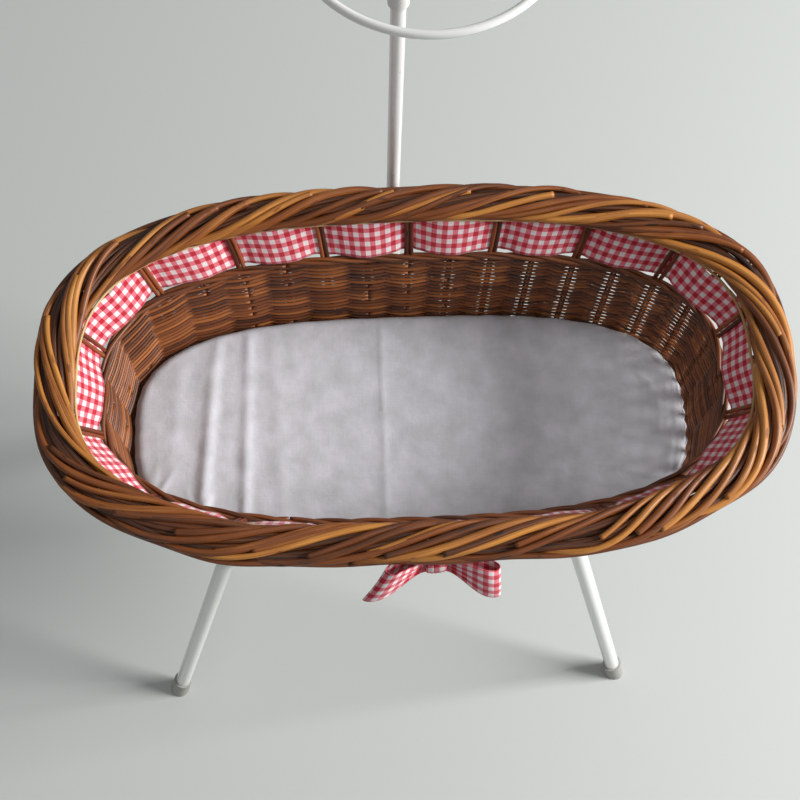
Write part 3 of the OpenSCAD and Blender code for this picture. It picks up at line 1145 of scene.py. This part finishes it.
@dataclass
class OpenBand:
    """The open band over the wall: stake pairs, a thin hoop and a threaded gingham ribbon."""

    oval: Oval
    stake_radius: float = 0.0029
    stake_head_inset: float = 0.037
    ribbon_width: float = 0.048
    ribbon_thickness: float = 0.0007
    swing: float = 0.0036
    tuck: float = 0.0026
    raised: float = 0.003
    sag: float = 0.0022
    low_edge: float = 0.0035
    drift: float = 0.0008
    fine_drift: float = 0.0005
    pleat: float = 0.0005
    edge_curl: float = 0.0006
    front_set_out: float = 0.0025
    columns: int = 13
    rows_per_pair: int = 18

    def stakes(self) -> None:
        """Builds the stake pairs, which lean out into the border."""
        batch = RodBatch("band_stake_rods", sides=9, seed=31)
        low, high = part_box("band_stakes")
        wall_inset = self.oval.inset_of("top_wale") + 0.0055
        steps = 12
        share = np.linspace(0, 1, steps)
        height = low.z - 0.006 + (high.z + 0.004 - low.z) * share
        lean = wall_inset - 0.001 + (self.stake_head_inset - wall_inset) * share
        for fraction, along in self.oval.pairs():
            middle = self.oval.point(np.full(steps, fraction), lean, height)
            for side in (-1, 1):
                offset = side * (self.stake_radius + CLEARANCE) * along
                twist = batch.draw.uniform(-0.0012, 0.0012) * np.sin(math.pi * share)[:, None]
                radius = self.stake_radius * batch.draw.uniform(0.92, 1.05)
                batch.add(middle + offset + twist * along, radius, along)
        batch.lay(Slot.WILLOW_STAKES, "band_stakes")

    def hoop(self) -> None:
        """Builds the pale hoop from two rods that butt together."""
        low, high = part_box("hoop_rod")
        radius = (high.z - low.z) / 2
        middle = self.oval.inset_of("hoop_rod") + radius
        batch = RodBatch("hoop_rods", sides=9, seed=32)
        for begin in (0.08, 0.58):
            fraction = np.linspace(begin, begin + 0.498, 220)
            wave = 0.0006 * np.sin(math.tau * fraction * 11 + begin)
            path = self.oval.point(fraction, middle + wave, low.z + radius + wave)
            batch.add(path, radius * batch.lumps(220, 0.03), UP)
        batch.lay(Slot.PALE_WILLOW, "hoop_rod")

    def ribbon(self) -> None:
        """Builds the ribbon on the stakes' lean, pinched a little where it is behind them."""
        low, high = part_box("gingham_ribbon")
        flare = math.acos((high.z - low.z) / self.ribbon_width)
        head_inset = self.oval.inset_of("gingham_ribbon") + self.swing
        rows = self.rows_per_pair * self.oval.stake_pairs + 1
        fraction = np.linspace(0.7505, 1.7495, rows)[:, None]
        across = np.linspace(0, 1, self.columns)[None, :]
        lap = math.tau * fraction
        wave = self.oval.half_turn(fraction)
        pinched = ((1 - wave) / 2) ** 4
        place = 0.5 + (across - 0.5) * (1 - 0.02 * pinched)
        sag = -self.sag * (1 - pinched) * (1 - across) ** 2
        drop = self.drift * np.sin(lap * 13) + self.fine_drift * np.sin(lap * 29)
        low_edge = -self.low_edge * pinched * (1 - across)
        lift = place * self.ribbon_width + self.raised + drop + sag + low_edge
        folds = self.pleat * pinched**0.5 * np.sin(lap * 140 + 5 * across)
        curl = self.edge_curl * np.sin(lap * 47 + 3 * across) * np.abs(2 * across - 1) ** 2
        inset = head_inset + (self.ribbon_width - lift) * math.sin(flare)
        front = ease(-self.oval.point(fraction, head_inset, low.z)[..., 1], 0.1, 0.17)
        inward = np.maximum(wave, 0) * (1 - 0.9 * front) + np.minimum(wave, 0)
        inset = inset + self.swing * inward - self.tuck * pinched
        inset = inset - self.front_set_out * front + folds + curl
        height = low.z + 0.0006 + lift * math.cos(flare)
        grid = self.oval.point(fraction + 0 * across, inset, height)
        run = run_along(grid[:, self.columns // 2])
        flat = stacked(run[:, None], across * self.ribbon_width)
        made = cloth_object("ribbon_band", grid, flat, self.ribbon_thickness)
        fixed(made, Body.BASKET, Slot.GINGHAM, "gingham_ribbon")

    def build(self) -> None:
        """Builds the three pieces of the band."""
        self.stakes()
        self.hoop()
        self.ribbon()


@dataclass
class RolledBorder:
    """The thick rim: each stake bends over and wraps outwards, clockwise seen from above."""

    oval: Oval
    border_width: float = 0.04
    rod_radius: float = 0.0046
    wrap_length: float = 0.235
    inner_reach: float = 0.009
    first_angle: float = math.radians(236)
    last_angle: float = math.radians(-58)
    mate_gap: float = 0.0052
    bulge: float = 0.0055
    bulge_reach: float = 0.07
    end_swell: float = 0.0045
    length_spread: tuple[float, float] = (0.84, 1.18)
    inner_thickness: tuple[float, float] = (0.7, 0.85)
    outer_thickness: tuple[float, float] = (0.7, 1.14)
    # The inner layer's tones are kept dark as painted shade in the gaps.
    inner_shade_tone: tuple[float, float] = (0, 0.1)
    outer_tone: tuple[float, float] = (0.1, 1.0)
    cut_reach: tuple[float, float] = (0.56, 0.68)
    # Rows of place across, place up, radius and tone; the low tones paint shade inside the border.
    core: tuple[tuple[float, ...], ...] = (
        (-0.5, -0.15, 0.0050, 0.0),
        (-0.05, -0.15, 0.0050, 0.0),
        (0.4, -0.15, 0.0050, 0.0),
        (-0.84, -0.35, 0.0034, 0.3),
        (-0.62, -0.68, 0.0034, 0.2),
    )
    steps: int = 46

    def __post_init__(self) -> None:
        """Reads the border's section."""
        low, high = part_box("rolled_border")
        self.foot = low.z
        self.middle_z = (low.z + high.z) / 2
        self.half_height = (high.z - low.z) / 2
        self.half_width = (self.border_width + self.inner_reach) / 2

    def swell(self, place: Array) -> Array:
        """How far the rim bulges out at its ends and on each side of its front's middle.

        Args:
            place: Points on the rim.

        Returns:
            Distances in metres.
        """
        front = ease(-place[:, 1], 0.1, 0.18)
        side = np.abs(place[:, 0] - self.oval.centre.x)
        aside = (side - 0.2) / self.bulge_reach
        ends = self.end_swell * ease(side, 0.3, 0.4)
        return ends + self.bulge * front * np.exp(-(aside**2))

    def strand(
        self,
        batch: RodBatch,
        start: float,
        squeeze: float,
        radius: float,
        tone: float,
        reach: float = 1.0,
    ) -> None:
        """Adds one rod that wraps from the inner side over the top to the outer side.

        Args:
            batch: The batch that the rod joins.
            start: Fraction of the way round where the rod starts.
            squeeze: How much of the section's size the wrap uses.
            radius: The rod's radius.
            tone: How light the rod is.
            reach: Share of the whole wrap at which the rod is cut off.
        """
        share = np.linspace(0, reach, self.steps)
        length = self.wrap_length * batch.draw.uniform(*self.length_spread)
        fraction = start - share * length / self.oval.length
        angle = self.first_angle + (self.last_angle - self.first_angle) * share**0.94
        angle = angle + batch.draw.uniform(-0.12, 0.12) + 0.05 * np.sin(7 * share + 40 * start)
        room = squeeze * batch.draw.uniform(0.9, 1.0)
        usual = self.oval.point(fraction, self.half_width, self.foot)
        out = room * (self.half_width - radius) * np.cos(angle)
        inset = self.half_width - out - self.swell(usual)
        height = self.middle_z + room * (self.half_height - radius) * np.sin(angle)
        path = self.oval.point(fraction, inset, height)
        taper = 1.08 - 0.22 * share
        batch.add(path, radius * taper * batch.lumps(self.steps, 0.045), UP, tone)

    def along(
        self, batch: RodBatch, across: float, lift: float, radius: float, tone: float
    ) -> None:
        """Adds three rods, end to end, that run round the rim inside the wrap.

        Args:
            batch: The batch that the rods join.
            across: Their place across the section, from -1 outside to 1 inside.
            lift: Their place up the section, from -1 to 1.
            radius: Their radius.
            tone: How light they are.
        """
        for begin in (0.05, 0.38, 0.71):
            fraction = np.linspace(begin, begin + 0.338, 90)
            wander = 0.0008 * np.sin(math.tau * fraction * 17 + 9 * across)
            swell = self.swell(self.oval.point(fraction, self.half_width, self.foot))
            inset = self.half_width * (1 + across) - swell + wander
            height = self.middle_z + self.half_height * lift + wander
            path = self.oval.point(fraction, inset, height)
            batch.add(path, radius * batch.lumps(90, 0.06), UP, tone)

    def build(self) -> None:
        """Builds the core and inner layer, dark as painted shade, and the outer wrapped rods."""
        batch = RodBatch("border_rods", sides=10, seed=41)
        draw = batch.draw
        for across, lift, radius, tone in self.core:
            self.along(batch, across, lift, radius, tone)
        for fraction, _ in self.oval.pairs():
            for mate in (-1, 1):
                start = fraction + mate * self.mate_gap + draw.uniform(-0.001, 0.001)
                inner = self.rod_radius * draw.uniform(*self.inner_thickness)
                # The inner layer's dark tones paint the shade in the border's gaps.
                self.strand(batch, start + 0.004, 0.5, inner, draw.uniform(*self.inner_shade_tone))
                outer = self.rod_radius * draw.uniform(*self.outer_thickness)
                reach = 1.0 if mate > 0 else draw.uniform(*self.cut_reach)
                tone = draw.uniform(*self.outer_tone)
                self.strand(batch, start, 1.0, outer, tone, reach)
        batch.lay(Slot.WILLOW_BORDER, "rolled_border")


@dataclass
class Bow:
    """Gingham bow under the front of the rim: two flattened loops, a knot and its strip."""

    thickness: float = 0.0009
    width: float = 0.048
    pinch: float = 0.017
    pleat_depth: float = 0.0022
    ripple_depth: float = 0.0016
    opening: float = 0.0075
    forward: float = 0.018
    lean: float = math.radians(28)
    knot_deep: float = 0.0072
    knot_tall: float = 0.0125
    knot_round: float = 0.066

    def __post_init__(self) -> None:
        """Reads where the knot is."""
        low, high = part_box("bow_knot")
        self.middle = np.array((low + high) / 2)
        self.knot_half = (high.x - low.x) / 2

    def dress(
        self,
        name: str,
        node: str,
        grid: Array,
        flat: Array,
        wrap: bool = False,
    ) -> None:
        """Makes one folded gingham piece from its grid.

        Args:
            name: The piece's name.
            node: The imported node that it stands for.
            grid: Its points, rows by columns by 3.
            flat: Their places on the flat cloth.
            wrap: True if the last row joins the first.
        """
        made = cloth_object(name, grid, flat, self.thickness, wrap)
        fixed(made, Body.BASKET, Slot.GINGHAM, node)

    def loop(self, hand: Hand, node: str, reach: float, skew: float, droop: float) -> None:
        """Builds one loop, out from the knot and folded back to it.

        Args:
            hand: Which side it lies on.
            node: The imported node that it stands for.
            reach: Length from the knot to the fold.
            skew: How much further the lower edge reaches than the upper one.
            droop: How far the outer end hangs down.
        """
        share = np.linspace(0, 1, 56)[:, None]
        across = np.linspace(-1, 1, 19)[None, :]
        out = 1 - np.abs(2 * share - 1) ** 1.7
        layer = np.sin(math.tau * share)
        spread = self.pinch + (self.width - self.pinch) * ease(out, 0.02, 0.75)
        pleat = self.pleat_depth * (1 - ease(out, 0, 0.8)) * np.cos(3.5 * math.pi * across)
        ripple = self.ripple_depth * out * np.sin(2.2 * across + 3 * share)
        length = (reach + skew * across) * out
        x = self.middle[0] + hand.value * (self.knot_half - 0.004 + length)
        down = across * spread / 2
        depth = self.opening * layer * ease(out, 0.0, 0.3) * (1 - 0.35 * across) + pleat + ripple
        y = self.middle[1] - self.forward * ease(out)
        y = y - down * math.sin(self.lean) - depth * math.cos(self.lean)
        z = self.middle[2] - droop * out**1.5
        z = z - down * math.cos(self.lean) + depth * math.sin(self.lean)
        grid = stacked(x, y, z)
        run = run_along(grid[:, across.size // 2])[:, None]
        flat = stacked(run, across * self.width / 2)
        self.dress(f"{node}_cloth", node, grid, flat)

    def knot(self) -> None:
        """Builds the knot: a pleated wrap round the pinched middles of the loops."""
        turn = np.linspace(0, math.tau, 40, endpoint=False)[:, None]
        across = np.linspace(-1, 1, 15)[None, :]
        swell = 1 + 0.06 * np.cos(5 * math.pi * across) - 0.28 * across**4
        deep = self.knot_deep * swell
        tall = self.knot_tall * swell * (1 + 0.05 * np.sin(3 * turn))
        x = self.middle[0] + across * self.knot_half * 0.92
        y = self.middle[1] - deep * np.cos(turn)
        z = self.middle[2] + tall * np.sin(turn) + 0.002 * across
        grid = stacked(x, y, z)
        flat = stacked(turn * 0.01, across * self.knot_half)
        self.dress("bow_knot_wrap", "bow_knot", grid, flat, wrap=True)

    def strip(self) -> None:
        """Builds the ends of the ribbon, brought out under the border to the knot."""
        low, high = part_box("bow_strip")
        share = np.linspace(0, 1, 14)[:, None]
        across = np.linspace(-1, 1, 9)[None, :]
        x = (low.x + high.x) / 2 + across * (high.x - low.x) / 2
        y = high.y + (low.y - high.y) * share
        z = low.z + (high.z - low.z) * (share + 0.12 * np.cos(3 * math.pi * across))
        grid = stacked(x, y, z)
        length = math.hypot(high.y - low.y, high.z - low.z)
        flat = stacked(share * length, across * (high.x - low.x) / 2)
        self.dress("bow_strip_cloth", "bow_strip", grid, flat)

    def build(self) -> None:
        """Builds the four pieces of the bow."""
        self.knot()
        self.loop(Hand.LEFT, "bow_left_loop", 0.061, 0.013, 0.007)
        self.loop(Hand.RIGHT, "bow_right_loop", 0.063, 0.001, 0.008)
        self.strip()


@dataclass(frozen=True)
class Fold:
    """A long soft fold across the sheet."""

    middle: float
    slope: float
    size: float
    reach: float
    fade: float

    def height(self, x: Array, y: Array) -> Array:
        """Its height at places on the pad, less beyond the fade."""
        bell = np.exp(-(((x - self.middle - self.slope * y) / self.reach) ** 2))
        return self.size * bell * (0.55 + 0.45 * (1 - ease(y, self.fade - 0.2, self.fade)))


@dataclass(frozen=True)
class Pucker:
    """A short crease at the sheet's edge, in the direction of its turn."""

    x: float
    y: float
    turn: float
    size: float
    length: float = 0.022
    width: float = 0.0042

    def height(self, x: Array, y: Array) -> Array:
        """Its height at places on the pad.

        Args:
            x: Places along the pad, from its middle.
            y: Places across the pad, from its middle.

        Returns:
            Heights in metres.
        """
        ahead, aside = math.cos(self.turn), math.sin(self.turn)
        run = (x - self.x) * ahead + (y - self.y) * aside
        off = -(x - self.x) * aside + (y - self.y) * ahead
        return self.size * np.exp(-((run / self.length) ** 2) - (off / self.width) ** 2)


CREASES: tuple[Fold | Pucker, ...] = (
    Fold(-0.2555, 0.083, 0.0042, 0.0075, 0.10),
    Fold(-0.2085, 0.027, 0.0036, 0.0070, 0.07),
    Fold(-0.168, -0.03, 0.0014, 0.010, 0.02),
    Fold(-0.262, 0.05, 0.0012, 0.010, -0.02),
    Fold(-0.300, 0.10, 0.0012, 0.009, -0.03),
    Fold(0.215, 0.05, 0.0010, 0.014, 0.02),
    Pucker(-0.262, -0.106, 1.15, 0.0030),
    Pucker(-0.274, -0.108, 1.9, 0.0024),
    Pucker(-0.316, -0.078, 1.0, 0.0030),
    Pucker(-0.326, -0.068, 1.35, 0.0018),
    Pucker(0.300, 0.05, 2.2, 0.0014),
)


@dataclass
class Bedding:
    """Mattress and the creased fitted sheet over it."""

    oval_power: float = 3.0
    edge_radius: float = 0.013
    crown: float = 0.004
    sheet_thickness: float = 0.0008
    tuck: float = 0.03
    pad_gap: float = 0.0025
    pad_sides: int = 120

    def __post_init__(self) -> None:
        """Reads the bedding's box."""
        self.low, self.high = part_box("fitted_sheet")
        self.centre = (self.low + self.high) / 2
        self.half_length = (self.high.x - self.low.x) / 2
        self.half_width = (self.high.y - self.low.y) / 2
        self.height = self.high.z - self.low.z

    def outline(self, angle: Array) -> Array:
        """Edge of the pad in a direction, as x and y from its middle.

        Args:
            angle: Polar angles.

        Returns:
            The places, in rows of x and y.
        """
        reach = reach_of(angle, self.oval_power)
        x = reach * self.half_length * np.cos(angle)
        return stacked(x, reach * self.half_width * np.sin(angle))

    def creases(self, x: Array, y: Array) -> Array:
        """Height of the folds and pressed creases at places on the pad.

        Args:
            x: Places along the pad, from its middle.
            y: Places across the pad, from its middle.

        Returns:
            Heights in metres.
        """
        pressed = 0.0016 * np.exp(-np.abs(x + 0.0355 - 0.01 * y) / 0.004)
        pressed = pressed * ease(y, -0.145, -0.11)
        level = 0.0009 * np.exp(-np.abs(y + 0.068 - 0.01 * x) / 0.004)
        level = level * ease(x, -0.13, -0.08) * (1 - ease(x, 0.15, 0.2))
        folds = np.zeros_like(x)
        for crease in CREASES:
            folds = folds + crease.height(x, y)
        return pressed + level + folds

    def wander(self, x: Array, y: Array) -> Array:
        """Soft unevenness of the sheet at places on the pad, in metres.

        Args:
            x: Places along the pad, from its middle.
            y: Places across the pad, from its middle.

        Returns:
            Heights in metres.
        """
        heights = [
            0.0007 * noise.noise(Vector((a * 14, b * 20, 3.1)))
            + 0.0005 * noise.noise(Vector((a * 45, b * 52, 7)))
            for a, b in zip(x.ravel().tolist(), y.ravel().tolist())
        ]
        return np.array(heights).reshape(x.shape)

    def sheet_grid(self) -> tuple[Array, Array]:
        """Lays the sheet over the top, down the sides and under the edge.

        Returns:
            The sheet's points and their places on the flat cloth.
        """
        over = np.linspace(1, 2, 19)[1:]
        line, row = (
            np.concatenate([-over[::-1], np.linspace(-1, 1, count), over]) for count in (201, 141)
        )
        u, v = np.meshgrid(line, row, indexing="ij")
        ring = np.maximum(np.abs(u), np.abs(v))
        angle = np.arctan2(v, u)
        edge = self.outline(angle)
        inner = np.minimum(ring, 1.0)
        radius = self.edge_radius
        side = self.height - 2 * radius
        hem = math.pi * radius / 2
        slack = np.maximum(ring - 1, 0) * (2 * hem + side + self.tuck)
        bend = np.clip(slack / radius, 0, math.pi / 2)
        lower = np.clip((slack - hem - side) / radius, 0, math.pi / 2)
        fall = np.clip(slack - hem, 0, side)
        drop = radius * (1 - np.cos(bend)) + fall + radius * np.sin(lower)
        under = np.maximum(slack - 2 * hem - side, 0)
        inset = radius * (1 - np.sin(bend)) + radius * (1 - np.cos(lower)) + under
        size = np.linalg.norm(edge, axis=-1)
        shrink = inner * (size - radius) / size + (radius - inset) / size * (ring > 1)
        x, y = shrink * edge[..., 0], shrink * edge[..., 1]
        dome = self.crown * (1 - np.clip(inner, 0, 1) ** 4)
        pull = 0.0011 * np.sin(46 * angle + 2 * np.sin(5 * angle)) * ease(ring, 0.93, 1.12)
        pull = pull * (0.35 + 0.65 * ease(np.cos(angle), 0.1, 0.9))
        on_top = 1 - ease(ring, 0.9, 1.05)
        uneven = (self.creases(x, y) + self.wander(x, y)) * (0.15 + 0.85 * on_top)
        z = self.high.z - self.crown - drop + dome + uneven
        out = edge / size[..., None] * pull[..., None]
        grid = stacked(self.centre.x + x + out[..., 0], self.centre.y + y + out[..., 1], z)
        stretch = (inner * size + slack) / size
        flat = stacked(stretch * edge[..., 0], stretch * edge[..., 1])
        return grid, flat

    def mattress(self) -> None:
        """Builds the padded mattress under the sheet."""
        sides, gap, radius = self.pad_sides, self.pad_gap, self.edge_radius
        edge = self.outline(np.linspace(0, math.tau, sides, endpoint=False))
        size = np.linalg.norm(edge, axis=-1, keepdims=True)
        bottom, top = self.low.z + gap, self.high.z - self.crown - gap
        rings = [stacked(*(edge * share).T, bottom) for share in (0.1, 0.5, 0.8)]
        for lean in np.linspace(-math.pi / 2, math.pi / 2, 9):
            inset = gap + radius * (1 - math.cos(lean))
            lift = bottom + radius if lean < 0 else top - radius
            outline = edge * (size - inset) / size
            rings.append(stacked(*outline.T, lift + radius * math.sin(lean)))
        for share in (0.6, 0.2):
            rings.append(stacked(*(edge * share).T, top + self.crown * (1 - share**4)))
        verts = np.concatenate(rings) + np.array([self.centre.x, self.centre.y, 0])
        last, corner = (len(rings) - 1) * sides, np.arange(sides)
        faces: list[list[int]] = []
        for start in range(0, last, sides):
            a, b = start + corner, start + (corner + 1) % sides
            faces += stacked(a, b, b + sides, a + sides).tolist()
        faces += [list(range(sides - 1, -1, -1)), list(range(last, last + sides))]
        made = mesh_object("mattress_pad", verts, faces)
        set_attribute(made, "cloth", verts * np.array([1, 1, 0]))
        fixed(made, Body.BEDDING, Slot.TICKING, "mattress_core")

    def sheet(self) -> None:
        """Builds the creased sheet."""
        grid, flat = self.sheet_grid()
        made = cloth_object("sheet_cloth", grid, flat, self.sheet_thickness)
        fixed(made, Body.BEDDING, Slot.COTTON, "fitted_sheet")

    def build(self) -> None:
        """Builds both pieces."""
        self.mattress()
        self.sheet()


@dataclass
class Stand:
    """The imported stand, pole and fittings, which keep their shapes."""

    skipped: tuple[Slot, ...] = (
        Slot.WILLOW_WEAVE,
        Slot.WILLOW_BORDER,
        Slot.WILLOW_STAKES,
        Slot.PALE_WILLOW,
        Slot.GINGHAM,
        Slot.TICKING,
        Slot.COTTON,
    )

    def build(self) -> None:
        """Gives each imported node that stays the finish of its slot."""
        for part in frame["record"]["subparts"]:
            slot = Slot(part["material_slot"])
            if slot in self.skipped:
                continue
            mesh = frame["nodes"][part["node"]].data
            mesh.materials.clear()
            mesh.materials.append(FINISHES[slot].material())
            LOG.info("%s keeps its shape, %s", part["node"], slot.value)


@dataclass(frozen=True)
class Lamp:
    """A soft rectangular light."""

    name: str
    offset: tuple[float, float, float]
    size: tuple[float, float]
    power: float

    def build(self, centre: Vector, aim: Vector) -> None:
        """Adds the light at its offset from a centre, facing a point.

        Args:
            centre: The point that the offset starts from.
            aim: The point that the light faces.
        """
        data = bpy.data.lights.new(self.name, "AREA")
        data.shape = "RECTANGLE"
        data.size, data.size_y = self.size
        data.energy = self.power
        made = bpy.data.objects.new(self.name, data)
        made.location = centre + Vector(self.offset)
        made.rotation_mode = "QUATERNION"
        made.rotation_quaternion = (aim - made.location).to_track_quat("-Z", "Y")
        bpy.context.scene.collection.objects.link(made)


@dataclass
class Studio:
    """Pale floor, soft daylight from the right and the camera over the front of the basket."""

    rim_centre: Vector
    camera_offset: tuple[float, float, float] = (-0.0727, -0.6, 1.5675)
    pitch: float = math.radians(70.44)
    yaw: float = math.radians(5.35)
    roll: float = math.radians(3.14)
    lens: float = 66.9
    floor_half: float = 9.0
    sky_colour: Colour = (0.94, 0.97, 1.0, 1.0)
    sky_strength: float = 0.26
    aim_offset: tuple[float, float, float] = (-0.15, 0, -0.1)
    lamps: tuple[Lamp, ...] = (
        Lamp("window", (4.5, -0.2, 2.3), (2.2, 1.8), 390),
        Lamp("ceiling", (-0.6, -0.4, 2.4), (2.4, 2.4), 4),
    )

    def camera(self) -> None:
        """Places the camera and makes it the scene's."""
        reach = math.cos(self.pitch)
        ahead = Vector(
            (math.sin(self.yaw) * reach, math.cos(self.yaw) * reach, -math.sin(self.pitch))
        )
        level = Vector((math.cos(self.yaw), -math.sin(self.yaw), 0))
        upright = level.cross(ahead)
        right = math.cos(self.roll) * level + math.sin(self.roll) * upright
        top = math.cos(self.roll) * upright - math.sin(self.roll) * level
        data = bpy.data.cameras.new("camera")
        data.lens = self.lens
        data.sensor_width = 36.0
        data.clip_end = 60.0
        made = bpy.data.objects.new("camera", data)
        turn = Matrix((right, top, -ahead)).transposed().to_4x4()
        made.matrix_world = Matrix.Translation(self.rim_centre + Vector(self.camera_offset)) @ turn
        bpy.context.scene.collection.objects.link(made)
        bpy.context.scene.camera = made

    def floor(self) -> None:
        """Lays the floor under the feet."""
        half = self.floor_half
        corners = np.array([(-half, -half, 0), (half, -half, 0), (half, half, 0), (-half, half, 0)])
        made = mesh_object("floor", corners, [[0, 1, 2, 3]])
        made.data.materials.append(FloorFinish().material())

    def light(self) -> None:
        """Sets the sky and the window light."""
        world = bpy.data.worlds.new("room")
        world.use_nodes = True
        sky = world.node_tree.nodes["Background"]
        sky.inputs["Color"].default_value = self.sky_colour
        sky.inputs["Strength"].default_value = self.sky_strength
        bpy.context.scene.world = world
        for lamp in self.lamps:
            lamp.build(self.rim_centre, self.rim_centre + Vector(self.aim_offset))
        bpy.context.scene.view_settings.view_transform = "Standard"

    def build(self) -> None:
        """Builds the studio."""
        self.camera()
        self.floor()
        self.light()


def main() -> None:
    """Builds the studio, the basket, the bedding and the stand's finishes, in that order."""
    logging.basicConfig(level=logging.INFO, format="%(name)s: %(message)s")
    oval = Oval()
    parts = (
        Studio(Vector((oval.centre.x, oval.centre.y, oval.rim_top))),
        WovenBase(oval),
        Rope(oval, "foot_ring", "foot_ring_rope", 4, 20, 0.0042, Slot.WILLOW_BORDER, 51),
        SideWall(oval),
        Rope(oval, "top_wale", "top_wale_rope", 3, 14, 0.0026, Slot.WILLOW_WEAVE, 52),
        OpenBand(oval),
        RolledBorder(oval),
        Bow(),
        Bedding(),
        Stand(),
    )
    for part in parts:
        LOG.info("building %s", type(part).__name__)
        part.build()


if __name__ == "__main__":
    main()
